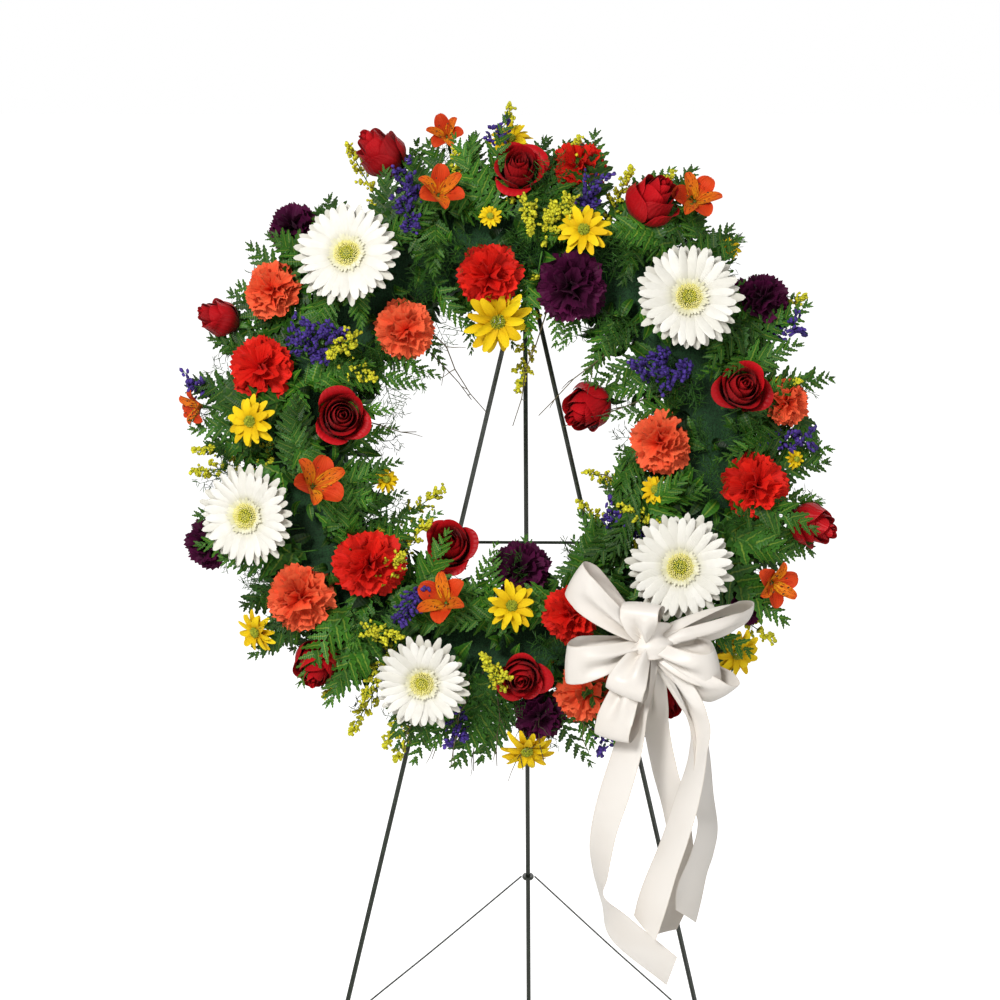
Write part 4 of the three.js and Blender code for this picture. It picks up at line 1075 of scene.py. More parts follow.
@dataclass
class Alstroemerias:
    """Orange alstroemerias: three broad outer petals, three narrow streaked ones, six stamens."""

    finishes: Finishes
    flowers: tuple[SmallFlower, ...]

    def piece(self, number: int) -> Piece:
        """The flower of a number, on its stem."""
        f = self.finishes
        flower = self.flowers[number]
        middle, facing, root = flower.seat()
        r = flower.radius
        rng = seeded(f"lily_{number}")
        piece = Piece(f"alstroemeria_{number + 1}", [f["lily"], f["lily_inner"], f["stem"], f["anther"]])
        turn = turn_to(facing + rng.uniform(-0.55, 0.55, 3), rng.uniform(0, 6))
        throat = middle - unit(facing) * r * 0.3
        for layer, (wide, far, up) in enumerate([(0.4, 1.0, 1.0), (0.25, 0.98, 1.14)]):
            angles = ring_of(3, rng, 0.5 * layer, 0.05)
            grids = strap_petals(
                angles, r * 0.07, np.full(3, r * far), np.full(3, r * wide), np.full(3, r * up),
                r * rng.uniform(0.2, 0.55, 3), r * 0.2, (10, 9), 0.6, rng.uniform(-0.2, 0.2, 3),
            )
            grids[..., 2] -= r * 0.05 * layer
            piece.add(placed(leaf_solids(grids, 0.5, rng.uniform(0, 0.5, 3), layer), throat, turn))
        a = ring_of(6, rng, 0.3, 0.2)
        v = np.linspace(0, 1, 6)[None, :]
        out = r * (0.05 + 0.24 * v + 0.12 * v**2)
        stamens = np.stack([out * np.cos(a)[:, None], out * np.sin(a)[:, None], r * 0.78 * v + 0 * a[:, None]], -1)
        piece.add(placed(tubes(stamens, np.full(6, 0.32), 4, np.full(6, 0.1), 0), throat, turn))
        axes, size = np.tile([0.6, 0.2, 0.8], (6, 1)), np.tile([0.8, 1.7], (6, 1))
        piece.add(placed(grains(stamens[:, -1], axes, size, np.full(6, 0.5), 3), throat, turn))
        path = stem_to(root, throat, facing)
        piece.add(tube(path, np.array([1.3, 1.2, 1.2, 1.2, 1.3, 1.6, 2.2]), 6, 0.2, 2))
        return piece


class SprayKind(Enum):
    """Sprays of buds: how many buds, the spray's radius, a bud's half width and half length."""

    GOLDENROD = (185, 9.4, 1.5, 2.15)
    STATICE = (150, 11.2, 1.65, 2.9)


@dataclass
class Sprays:
    """Plumes of goldenrod and tufts of statice on thin branches."""

    finishes: Finishes

    def piece(self, name: str, kind: SprayKind, tip_view: tuple[float, float], sink: float) -> Piece:
        """A spray. Its stem rises from the foam and leans out of the ring, or into the hole. Side
        branches leave it in a golden-angle spiral; they are longest at a third of the plume and
        end in buds, which crowd along each branch.

        Args:
            name: The piece's name.
            kind: Goldenrod or statice.
            tip_view: Where its tip is in the front view.
            sink: How far the tip stays under the flowers' dome.

        Returns:
            The piece.
        """
        f = self.finishes
        count, spread, wide, long = kind.value
        plume = kind is SprayKind.GOLDENROD
        rng = seeded(name)
        (x, y), radius, root = stem_foot(tip_view, *STEM_BAND, STEM_FOOT_Z)
        tip = np.array([x, y, face_height(radius) - sink])
        way = rng.uniform(0, 2 * math.pi)
        flat = [math.cos(way), math.sin(way)] if 170 < radius < 212 else [x / radius, y / radius]
        flip = -1.0 if radius < 170 else 1.0
        away = unit(np.array([flat[0] * flip, flat[1] * flip, 0.3]))
        reach = float(np.linalg.norm(tip - root))
        path = spline(np.stack([root, root + [0, 0, 0.3 * reach], tip - away * min(46, 0.62 * reach), tip]), 25)
        piece = Piece(name, [f["goldenrod"] if plume else f["statice"], f["stem"]])
        piece.add(tube(path, np.linspace(1.1, 0.4, 25), 5, 0.2, 1))
        branches = 20 if plume else 14
        share = np.linspace(0.42 if plume else 0.62, 0.99, branches)
        start = at_share(path, share)
        along = unit(at_share(np.gradient(path, axis=0), share))
        side = unit(np.cross(along, [0.3, 0.2, 0.93]))
        over = np.cross(along, side)
        a = np.arange(branches) * GOLDEN_ANGLE
        out = side * np.cos(a)[:, None] + over * np.sin(a)[:, None]
        local = (share - share[0]) / (share[-1] - share[0])
        hump = np.sin(math.pi * (0.18 + 0.78 * local)) if plume else 0.6 + 0.4 * local
        length = spread * hump * rng.uniform(0.8, 1.25, branches)
        v = np.linspace(0, 1, 5)[None, :, None]
        arms = start[:, None] + length[:, None, None] * (out[:, None] * v + along[:, None] * (0.75 * v + 0.25 * v**2))
        piece.add(tubes(arms, np.full(5, 0.35), 4, np.full(branches, 0.3), 1))
        which = rng.integers(0, branches, count)
        at = np.clip(rng.beta(2.0, 1.2, count), 0.1, 1.0)[:, None]
        place = start[which] + length[which, None] * (out[which] * at + along[which] * (0.75 * at + 0.25 * at**2))
        place = place + rng.normal(0, 1.3 if plume else 1.8, (count, 3))
        axes = unit(out[which] + 0.7 * along[which] + rng.normal(0, 0.5, (count, 3)))
        size = np.stack([rng.uniform(0.75, 1.25, count) * wide, rng.uniform(0.8, 1.2, count) * long], -1)
        piece.add(grains(place, axes, size, rng.uniform(0, 1, count)))
        return piece


@dataclass
class Greens:
    """The greens of the ring: fern fronds, plumosus sprigs, filler leaves and twigs."""

    finishes: Finishes
    sectors: int = 8
    outer_fronds: int = 62
    inner_fronds: int = 34
    face_fronds: int = 66

    def frond(
        self, root: np.ndarray, tip: np.ndarray, up: np.ndarray, wide: float, rng: np.random.Generator
    ) -> list[Patch]:
        """A leatherleaf frond. Its rib bows from root to tip; leaflets stand on both sides, longest
        near a quarter of it, and each one's half width is a falling power times a saw wave of
        four lobes.

        Args:
            root: Where the rib starts.
            tip: Where it ends.
            up: The direction its face looks.
            wide: Half width of the frond.
            rng: Random generator.

        Returns:
            The patches.
        """
        span = tip - root
        side = unit(np.cross(span, up))
        top = unit(np.cross(side, span))
        t = np.linspace(0, 1, 12)[:, None]
        bow = np.linalg.norm(span) * rng.uniform(0.05, 0.14)
        rib = root + span * t + top * bow * np.sin(math.pi * t)
        patches = [tube(rib, np.linspace(0.8, 0.25, 12), 3, 0.1, 1)]
        pairs = 9
        share = np.repeat(np.linspace(0.16, 0.95, pairs), 2)
        hand = np.tile([1.0, -1.0], pairs)
        share = np.concatenate([share + 0.018 * hand, [0.97]])
        hand = np.concatenate([hand, [0.0]])
        n = len(share)
        start = at_share(rib, share)
        along = unit(span)
        slope = np.radians(58 - 26 * share + rng.normal(0, 6, n)) * np.sign(hand)
        reach = 1.12 * wide * (1.08 - share) ** 0.62 * np.minimum(1, share * 4 + 0.2) * rng.uniform(0.88, 1.1, n)
        way = along * np.cos(slope)[:, None] + side * np.sin(slope)[:, None]
        cross = np.cross(np.broadcast_to(top, way.shape), way) + top * rng.normal(0, 0.35, (n, 1))
        v = np.linspace(0, 1, 9)
        lobes = np.arange(9) % 2
        half = 0.27 * (1 - v) ** 0.6 * (0.55 + 0.45 * lobes)
        half[0] = 0.06
        u = np.array([-1.0, 0.0, 1.0])
        flat = start[:, None, None] + reach[:, None, None, None] * (
            way[:, None, None] * v[:, None, None]
            + cross[:, None, None] * (half[:, None] * u)[..., None]
        )
        curl = top * (-0.16 * v[:, None, None] ** 2 + 0.05 * np.abs(u)[None, :, None] * half[:, None, None] * 4)
        grids = flat + (reach * rng.uniform(0.3, 2.0, n))[:, None, None, None] * curl[None]
        grids = grids + rng.normal(0, 0.35, (n, 1, 1, 3)) * v[None, :, None, None]
        patches.append(leaf_solids(grids, 0.5, rng.uniform(0, 0.3, n) + rng.uniform(0, 0.55), 0))
        return patches

    def sprig(self, root: np.ndarray, tip: np.ndarray, spread: float, rng: np.random.Generator) -> list[Patch]:
        """A plumosus sprig: flat side twigs off a thin stem, each set with short needles."""
        t = np.linspace(0, 1, 9)[:, None]
        span = tip - root
        drop = np.array([0, 0, -0.06]) * np.linalg.norm(span)
        stem = root + span * t + drop * t**2
        side = unit(np.cross(span, rng.normal(0, 0.4, 3) + [0, 0, 1.0]))
        patches = [tube(stem, np.linspace(0.55, 0.2, 9), 4, 0.2, 0)]
        count = 16
        share = np.linspace(0.2, 0.98, count)
        start = at_share(stem, share)
        hand = np.where(np.arange(count) % 2, 1.0, -1.0)
        reach = spread * (1.1 - share) ** 0.6 * rng.uniform(0.7, 1.2, count)
        way = unit(unit(span) * 0.8 + side * hand[:, None] + rng.normal(0, 0.15, (count, 3)))
        v = np.linspace(0, 1, 4)[None, :, None]
        arms = start[:, None] + way[:, None] * reach[:, None, None] * v
        patches.append(tubes(arms, np.full(4, 0.3), 3, np.full(count, 0.4), 0))
        needles = 6
        at = np.tile(np.linspace(0.12, 1.0, needles), count)
        which = np.repeat(np.arange(count), needles)
        places = start[which] + way[which] * (reach[which] * at)[:, None]
        axes = unit(way[which] * 0.6 + rng.normal(0, 0.75, (len(which), 3)))
        length = rng.uniform(2.4, 4.8, len(which))
        size = np.stack([np.full(len(which), 0.36), length], -1)
        patches.append(grains(places + axes * length[:, None], axes, size, rng.uniform(0, 0.8, len(which)), 0, 3))
        return patches

    def leaves(self, places: np.ndarray, ways: np.ndarray, up: np.ndarray, rng: np.random.Generator) -> Patch:
        """Small pointed leaves: a sine half width along each one, folded a little on its rib."""
        n = len(places)
        v = np.linspace(0, 1, 6)
        u = np.array([-1.0, 0.0, 1.0])
        side = unit(np.cross(ways, up))
        top = np.cross(side, ways)
        long = rng.uniform(15, 30, n)[:, None, None, None]
        half = 0.2 * np.sin(math.pi * (0.08 + 0.92 * v)) ** 0.8
        raised = 0.22 * np.sin(math.pi * v)[:, None] + 0.3 * half[:, None] * np.abs(u)
        grids = places[:, None, None] + long * (
            ways[:, None, None] * v[None, :, None, None]
            + side[:, None, None] * (half[:, None] * u)[None, :, :, None]
            + top[:, None, None] * raised[None, :, :, None]
        )
        return leaf_solids(grids, 0.45, rng.uniform(0.15, 1.0, n), 2)

    def sector_of(self, place: np.ndarray) -> int:
        """Which eighth of the ring a place is in, from 0."""
        angle = math.atan2(place[1], place[0]) % (2 * math.pi)
        return int(angle / (2 * math.pi) * self.sectors)

    def pieces(self) -> list[Piece]:
        """The greens of each eighth, in place of its CAD node, and one piece of fine sprigs."""
        f = self.finishes
        rng = seeded("greens")
        eighths = [
            Piece(f"fern_fronds_{i + 1}", f.some("fern stem fern"), replaces=(f"foliage_{i + 1}",), slot="fern_green")
            for i in range(self.sectors)
        ]
        fine = [Piece(f"plumosus_{i + 1}", [f["plumosus"]]) for i in range(self.sectors)]

        def ring_place(angle: float, radius: float, high: float) -> np.ndarray:
            return np.array([math.cos(angle) * radius, math.sin(angle) * radius, high])

        def grow(root: np.ndarray, tip: np.ndarray, up: np.ndarray, wide: float) -> None:
            for patch in self.frond(root, tip, up, wide, rng):
                eighths[self.sector_of(root)].add(patch)

        for i in range(self.outer_fronds):
            angle = 2 * math.pi * (i + rng.uniform(-0.3, 0.3)) / self.outer_fronds
            level = rng.uniform(0, 1)
            tip = ring_place(angle + rng.uniform(-0.14, 0.14), rng.uniform(283, 314) - 12 * level, 12 + 66 * level)
            root = ring_place(angle, 206 - 10 * level, 56 + 14 * level)
            up = ring_place(angle, 0.55, 1.0) + rng.uniform(-0.35, 0.35, 3)
            grow(root, tip, up, rng.uniform(26, 35))
        for view in RIM_FRONDS:
            x, y = from_view(view)
            for aside in (-0.085, 0.07):
                angle = math.atan2(y, x) + aside
                tip = ring_place(angle, math.hypot(x, y) + rng.uniform(-4, 10), rng.uniform(26, 38))
                grow(ring_place(angle - aside / 2, 204, 60), tip, ring_place(angle, 0.4, 1.0), rng.uniform(27, 35))
        for i in range(self.inner_fronds):
            angle = 2 * math.pi * (i + rng.uniform(-0.3, 0.3)) / self.inner_fronds
            level = rng.uniform(0, 1)
            tip = ring_place(angle + rng.uniform(-0.2, 0.2), rng.uniform(82, 104) + 8 * level, 24 + 50 * level)
            root = ring_place(angle, 172, 57 + 10 * level)
            up = ring_place(angle, -0.55, 1.0) + rng.uniform(-0.3, 0.3, 3)
            grow(root, tip, up, rng.uniform(17, 24))
        for i in range(self.face_fronds):
            angle = i * GOLDEN_ANGLE
            radius = 128 + 138 * ((i * 0.618) % 1.0)
            root = ring_place(angle, radius, face_height(radius) - rng.uniform(34, 46))
            tip = free_way(root, rng.uniform(50, 80), rng.uniform(0, 2 * math.pi))
            tip[2] = face_height(math.hypot(tip[0], tip[1])) - rng.uniform(14, 26)
            grow(root, tip, dome_normal(tip[0], tip[1]) + rng.uniform(-0.3, 0.3, 3), rng.uniform(20, 28))
        for i in range(48):
            angle = 2 * math.pi * (i + rng.uniform(-0.4, 0.4)) / 48
            inward = i % 4 == 0
            level = rng.uniform(0, 1)
            radius = rng.uniform(96, 116) if inward else rng.uniform(258, 294)
            root = ring_place(angle, 172 if inward else 206, 58 + 20 * level)
            tip = ring_place(angle + rng.uniform(-0.16, 0.16), radius, 20 + 70 * level * (radius < 285))
            for patch in self.sprig(root, tip, rng.uniform(20, 32), rng):
                fine[self.sector_of(root)].add(patch)
        for i in range(36):
            angle = i * GOLDEN_ANGLE + 1.0
            radius = 130 + 130 * ((i * 0.618 + 0.3) % 1.0)
            root = ring_place(angle, radius, face_height(radius) - 40)
            tip = free_way(root, 45.0, rng.uniform(0, 2 * math.pi))
            tip[2] = face_height(math.hypot(tip[0], tip[1])) - rng.uniform(8, 18)
            for patch in self.sprig(root, tip, rng.uniform(18, 27), rng):
                fine[self.sector_of(root)].add(patch)
        count = 960
        angle = rng.uniform(0, 2 * math.pi, count)
        turn = rng.uniform(-0.25, 1.25, count) * math.pi
        belly = rng.uniform(0.86, 1.12, count)
        radius = RING_MIDDLE_R + 44 * belly * np.cos(turn)
        high = 34 + 32 * belly * np.sin(turn)
        places = np.stack([radius * np.cos(angle), radius * np.sin(angle), np.maximum(high, 12)], -1)
        out = np.stack([np.cos(angle) * np.cos(turn), np.sin(angle) * np.cos(turn), np.sin(turn)], -1)
        ways = unit(out * 0.75 + rng.normal(0, 0.6, (count, 3)))
        sector = (angle / (2 * math.pi) * self.sectors).astype(int)
        for i, piece in enumerate(eighths):
            mine = sector == i
            up = unit(out[mine] + rng.normal(0, 0.3, (int(mine.sum()), 3)))
            piece.add(self.leaves(places[mine], ways[mine], up, rng))
        return eighths + fine

    def twigs(self) -> Piece:
        """Bare twigs: thin crooked branches at the ring's foot and into its hole."""
        rng = seeded("twigs")
        piece = Piece("bare_twigs", [self.finishes["twig"]])
        for view, foot in [
            ((405, 752), 0.0), ((432, 760), 0.0), ((452, 768), 0.0), ((474, 772), 0.0), ((498, 766), 0.0),
            ((524, 770), 0.0), ((545, 760), 0.0), ((590, 752), 0.0), ((486, 412), 1.0), ((512, 425), 1.0),
            ((538, 414), 1.0), ((562, 425), 1.0), ((470, 398), 1.0), ((416, 432), 1.0), ((590, 470), 1.0),
        ]:
            (x, y), _, root = stem_foot(view, 172, 206, 56.0)
            tip = np.array([x, y, rng.uniform(24, 70)])
            t = np.linspace(0, 1, 7)[:, None]
            path = root + (tip - root) * t + np.array([0, 0, 9]) * np.sin(math.pi * t)
            path[1:-1] += rng.normal(0, 1.8, (5, 3))
            piece.add(tubes(path[None], np.linspace(0.85, 0.4, 7), 5, rng.uniform(0, 1, 1)))
            for k in (3, 4, 5):
                end = path[k] + unit(tip - root) * rng.uniform(8, 18) + rng.normal(0, 7, 3)
                crook = rng.normal(0, 0.6, (4, 3)) * [[0], [1], [1], [0]]
                side = path[k] + (end - path[k]) * np.linspace(0, 1, 4)[:, None] + crook
                piece.add(tubes(side[None], np.linspace(0.5, 0.25, 4), 4, rng.uniform(0, 1, 1)))
        return piece


@dataclass(frozen=True)
class RibbonLoop:
    """One loop of the bow: its tip in the front view, its rise over the knot, its broad direction
    and how far it swells from the line to its tip."""

    tip: tuple[float, float]
    rise: float
    broad: tuple[float, float, float]
    swell: float


@dataclass(frozen=True)
class RibbonTail:
    """One tail of the bow: pairs of edge points down the front view, from its top height."""

    name: str
    top_z: float
    turn: int
    edges: tuple[tuple[tuple[float, float], tuple[float, float]], ...]


@dataclass
class Bow:
    """The bow: eight loops and four tails of one 36.5 mm satin ribbon, tied round a knot."""

    finishes: Finishes
    loops: tuple[RibbonLoop, ...]
    tails: tuple[RibbonTail, ...]
    width: float = RIBBON_WIDTH
    knot_view: tuple[float, float] = (650, 640)
    knot_z: float = 124.0

    def strip(
        self, name: str, middle: np.ndarray, half: np.ndarray, held: str, replaces: tuple[str, ...] = ()
    ) -> Piece:
        """A ribbon along a line. Across u it follows the half-width vector; where that is shorter
        than half the ribbon, the rest of the width goes into pleats, a sine wave out of the
        strip, so that the cloth keeps its width. Both edges curl a little. The whole strip takes one
        tone, higher the more its face turns away from the front: painted shade.

        Args:
            name: The piece's name.
            middle: The ribbon's middle line.
            half: The half-width vector at each step.
            held: How the cloth is held.
            replaces: CAD nodes that the ribbon stands for.

        Returns:
            The piece; its cut size is kept in the bow's cuts.
        """
        u = np.linspace(-1, 1, 13)
        along = unit(np.gradient(middle, axis=0))
        face = unit(np.cross(along, half))
        wide = np.linalg.norm(half, axis=1)[:, None]
        true = self.width / 2
        fold = np.sqrt(np.maximum(true**2 - np.minimum(wide, true) ** 2, 0)) / 3
        wave = np.sin(1.5 * math.pi * u)
        crown = 1.4 * (1 - u**2) * np.minimum(wide / true, 1)
        points = middle[:, None] + half[:, None] * u[None, :, None] + face[:, None] * (fold * wave + crown)[..., None]
        piece = Piece(name, [self.finishes["ribbon"]], replaces=replaces, slot="satin_ribbon")
        steps = np.linalg.norm(np.diff(points, axis=0), axis=2).mean(axis=1)
        across = np.linalg.norm(np.diff(points, axis=1), axis=2)
        # painted shade: one tone for the strip, higher the more its face turns away from the front
        shade = np.clip(0.45 - 0.45 * face[:, 2].mean(), 0.0, 0.6)
        piece.add(leaf_solids(points[None], 0.35, np.array([shade * 0.5])))
        self.cuts[name] = (float(across.sum(axis=1).mean()), float(steps.sum()), held)
        return piece

    def __post_init__(self) -> None:
        """Starts the list of what each ribbon was cut to."""
        self.cuts: dict[str, tuple[float, float, str]] = {}

    def loop(self, number: int) -> Piece:
        """A loop out of the knot and back. Its reach is a cosine hump of the turn, its side way a
        sine, and its width closes to a fifth at the knot."""
        shape = self.loops[number]
        knot = np.array([*from_view(self.knot_view), self.knot_z])
        out = np.array([*from_view(shape.tip), self.knot_z + shape.rise]) - knot
        across = unit(np.array(shape.broad))
        puff = unit(np.cross(out, across)) * shape.swell
        s = np.linspace(0, 1, 49)
        turn = 2 * math.pi * s
        reach = 0.1 + 0.9 * (0.5 - 0.5 * np.cos(turn))
        side = np.sin(turn) * (0.55 + 0.45 * reach) + 0.12 * np.cos(math.pi * s)
        pinch = 0.2 + 0.8 * np.minimum(1, 1.35 * (reach - 0.1)) ** 0.85
        middle = knot + out * reach[:, None] + puff * side[:, None]
        half = across * (self.width / 2 * pinch)[:, None]
        replaces = ("bow_loops",) if number == 0 else ()
        return self.strip(f"bow_loop_{number + 1}", middle, half, "gathered", replaces)

    def tail(self, shape: RibbonTail) -> Piece:
        """A tail that hangs plumb from the knot through the pairs of edge points. Where a pair
        stands closer than the ribbon is wide, the ribbon is turned there by as much."""
        top = from_view(shape.edges[0][0])[1]
        middles = [np.array([*from_view(self.knot_view), self.knot_z - 3])]
        halves = [np.array([5.0, 0.0, shape.turn * 3.0])]
        for left_view, right_view in shape.edges:
            left, right = from_view(left_view), from_view(right_view)
            flat = (right - left) / 2
            reach = min(float(np.linalg.norm(flat)), self.width / 2)
            middle = (left + right) / 2
            high = shape.top_z - (top - middle[1]) * math.tan(LEAN)
            middles.append(np.array([*middle, high]))
            halves.append(np.array([*flat, shape.turn * math.sqrt(self.width**2 / 4 - reach**2)]))
        count = 12 * len(middles)
        middle = spline(np.stack(middles), count)
        half = spline(np.stack(halves), count)
        keep = np.minimum(self.width / 2, np.linalg.norm(half, axis=1))[:, None]
        wanted = np.maximum(keep, self.width / 2 * smooth(np.linspace(0, 6, count))[:, None])
        return self.strip(shape.name, middle, unit(half) * wanted, "hung", (shape.name,))

    def knot(self) -> Piece:
        """The knot: a loop of nearly full width that closes over the gathered ends. Its turn is an
        ellipse, and its width narrows by a cosine to the back, where it is tied."""
        middle = np.array([*from_view(self.knot_view), self.knot_z + 3])
        a = np.linspace(0, 2 * math.pi, 41)[:, None] - 0.5 * math.pi
        path = middle + np.concatenate([16.5 * np.cos(a), 2.0 * np.cos(a), 13.5 * np.sin(a)], axis=1)
        wide = 12.5 + 4.5 * np.sin(a)
        return self.strip("bow_knot", path, wide * np.array([-0.16, 0.98, 0.0]), "gathered")

    def pick(self) -> Piece:
        """The wire pick that holds the knot in the foam."""
        x, y = from_view(self.knot_view)
        held = 208.5 / math.hypot(x, y)
        path = np.stack([[x, y, self.knot_z - 4], [x * held, y * held, 30.0]])
        piece = Piece("bow_pick", [self.finishes["stem"]])
        piece.add(tube(path, np.array([1.9, 1.7]), 8, 0.3))
        return piece

    def build(self) -> None:
        self.pick().build()
        pieces = [self.loop(i) for i in range(len(self.loops))] + [self.tail(t) for t in self.tails] + [self.knot()]
        for piece in pieces:
            cloth = piece.build()


RIM_FRONDS = (
    (220, 318), (192, 407), (446, 130), (815, 522), (776, 584), (794, 404), (312, 664), (256, 628),
    (768, 297), (292, 222),
)

BLOOMS = (
    Bloom("gerbera_upper_left", Kind.GERBERA, (348, 257), 52.5),
    Bloom("gerbera_upper_right", Kind.GERBERA, (687, 300), 52.5),
    Bloom("gerbera_left", Kind.GERBERA, (248, 518), 51),
    Bloom("gerbera_right", Kind.GERBERA, (679, 567), 52.5),
    Bloom("gerbera_bottom", Kind.GERBERA, (425, 683), 47),
    Bloom("rose_top_left", Kind.ROSE, (380, 152), 25, aim=(-0.6, 0.65, 0.45)),
    Bloom("rose_top", Kind.ROSE, (517, 169), 26, aim=(0.1, 0.35, 0.93)),
    Bloom("rose_top_right", Kind.ROSE, (648, 202), 27, aim=(0.5, 0.55, 0.67)),
    Bloom("rose_left_rim", Kind.ROSE, (218, 318), 20, aim=(-0.8, 0.3, 0.5)),
    Bloom("rose_inner_left", Kind.ROSE, (342, 418), 26, aim=(0.15, 0.05, 1)),
    Bloom("rose_inner_right", Kind.ROSE, (590, 403), 25, aim=(-0.6, -0.5, 0.62)),
    Bloom("rose_right", Kind.ROSE, (740, 388), 26, aim=(0.2, 0.15, 0.95)),
    Bloom("rose_right_rim", Kind.ROSE, (808, 521), 24, aim=(0.8, -0.35, 0.48)),
    Bloom("rose_inner_bottom", Kind.ROSE, (450, 545), 25, aim=(-0.1, 0.3, 0.94)),
    Bloom("rose_bottom_left", Kind.ROSE, (320, 660), 25, aim=(-0.15, -0.7, 0.7)),
    Bloom("rose_bottom", Kind.ROSE, (523, 676), 23, aim=(0, -0.3, 0.95)),
    Bloom("rose_under_bow", Kind.ROSE, (662, 692), 24, aim=(0.25, -0.6, 0.76)),
    Bloom("red_carnation_top", Kind.RED_CARNATION, (577, 160), 29, 12),
    Bloom("red_carnation_inner_top", Kind.RED_CARNATION, (489, 279), 31),
    Bloom("red_carnation_left", Kind.RED_CARNATION, (258, 369), 32),
    Bloom("red_carnation_lower_left", Kind.RED_CARNATION, (372, 564), 34),
    Bloom("red_carnation_right", Kind.RED_CARNATION, (757, 486), 32),
    Bloom("red_carnation_by_bow", Kind.RED_CARNATION, (572, 613), 28),
    Bloom("coral_carnation_upper_left", Kind.CORAL_CARNATION, (268, 288), 29),
    Bloom("coral_carnation_inner_left", Kind.CORAL_CARNATION, (407, 333), 29),
    Bloom("coral_carnation_right", Kind.CORAL_CARNATION, (657, 443), 30),
    Bloom("coral_carnation_lower_left", Kind.CORAL_CARNATION, (300, 600), 33),
    Bloom("coral_carnation_by_bow", Kind.CORAL_CARNATION, (588, 693), 30),
    Bloom("coral_carnation_right_rim", Kind.CORAL_CARNATION, (788, 400), 24, 8),
    Bloom("burgundy_carnation_upper_left", Kind.BURGUNDY_CARNATION, (285, 220), 27, 18),
    Bloom("burgundy_carnation_top", Kind.BURGUNDY_CARNATION, (570, 289), 34),
    Bloom("burgundy_carnation_right", Kind.BURGUNDY_CARNATION, (765, 296), 30, 6),
    Bloom("burgundy_carnation_left_rim", Kind.BURGUNDY_CARNATION, (200, 545), 26, 16),
    Bloom("burgundy_carnation_inner_bottom", Kind.BURGUNDY_CARNATION, (520, 565), 30),
    Bloom("burgundy_carnation_bottom", Kind.BURGUNDY_CARNATION, (542, 717), 26, 8),
    Bloom("burgundy_carnation_right_rim", Kind.BURGUNDY_CARNATION, (748, 606), 20, 14),
)

DAISY_SEATS = (
    SmallFlower((583, 234), 26), SmallFlower((497, 322), 34), SmallFlower((253, 424), 26),
    SmallFlower((513, 606), 25), SmallFlower((508, 135), 23, 20), SmallFlower((528, 750), 26, 6),
    SmallFlower((737, 652), 26), SmallFlower((255, 633), 23, 8), SmallFlower((385, 480), 15, 16),
    SmallFlower((655, 490), 16, 18), SmallFlower((490, 219), 12, 14), SmallFlower((728, 245), 14, 16),
    SmallFlower((795, 458), 10, 16),
)
LILY_SEATS = (
    SmallFlower((437, 195), 23), SmallFlower((443, 128), 18, 8), SmallFlower((697, 195), 24),
    SmallFlower((194, 405), 18, 8), SmallFlower((316, 489), 27), SmallFlower((449, 602), 25),
    SmallFlower((775, 583), 22),
)
GOLDENROD_TIPS = (
    (342, 138), (452, 148), (507, 98), (577, 134), (630, 166), (672, 168), (545, 222), (188, 472),
    (442, 488), (517, 388), (577, 500), (806, 292), (395, 762), (350, 735), (330, 360), (375, 380),
    (430, 520), (405, 555), (585, 470), (800, 380), (405, 637), (485, 655), (365, 700), (325, 697),
    (775, 640), (530, 238), (553, 206), (385, 748), (192, 450), (620, 505),
)
STATICE_TIPS = (
    (400, 172), (592, 184), (310, 335), (795, 325), (662, 380), (610, 515), (458, 738), (403, 618),
    (403, 205), (298, 345), (188, 385), (497, 125), (807, 440), (607, 745), (640, 370),
)

BOW_LOOPS = (
    RibbonLoop((575, 578), 8, (0.45, 0.75, 0.5), 15), RibbonLoop((568, 662), 4, (0.05, 0.93, 0.35), 17),
    RibbonLoop((640, 606), 22, (0.9, -0.1, 0.35), 13), RibbonLoop((748, 610), 2, (0.1, 0.4, 0.9), 8),
    RibbonLoop((714, 664), 14, (-0.2, 0.8, 0.55), 16), RibbonLoop((724, 690), 0, (0.6, 0.4, 0.65), 12),
    RibbonLoop((624, 692), 16, (0.9, -0.36, 0.25), 13), RibbonLoop((613, 735), 0, (0.86, -0.2, 0.5), 11),
)
BOW_TAILS = (
    RibbonTail("bow_tail_left", 114, 1, (
        ((627, 706), (648, 706)), ((613, 748), (642, 748)), ((598, 797), (630, 793)), ((591, 837), (617, 832)),
        ((594, 868), (609, 872)), ((603, 900), (606, 892)), ((614, 938), (632, 914)), ((668, 982), (678, 952)),
    )),
    RibbonTail("bow_tail_centre", 120, 1, (
        ((684, 711), (705, 711)), ((688, 751), (705, 751)), ((672, 803), (698, 797)), ((661, 837), (687, 837)),
        ((646, 874), (675, 874)), ((635, 912), (656, 935)),
    )),
    RibbonTail("bow_tail_right", 104, -1, (
        ((688, 722), (703, 722)), ((692, 794), (714, 794)), ((697, 820), (718, 826)), ((690, 850), (714, 851)),
        ((678, 880), (707, 874)), ((676, 905), (697, 920)),
    )),
    RibbonTail("bow_tail_back", 88, 1, (
        ((643, 716), (668, 716)), ((652, 765), (677, 765)), ((664, 810), (688, 805)), ((672, 860), (694, 852)),
        ((665, 905), (690, 896)), ((656, 935), (678, 926)),
    )),
)


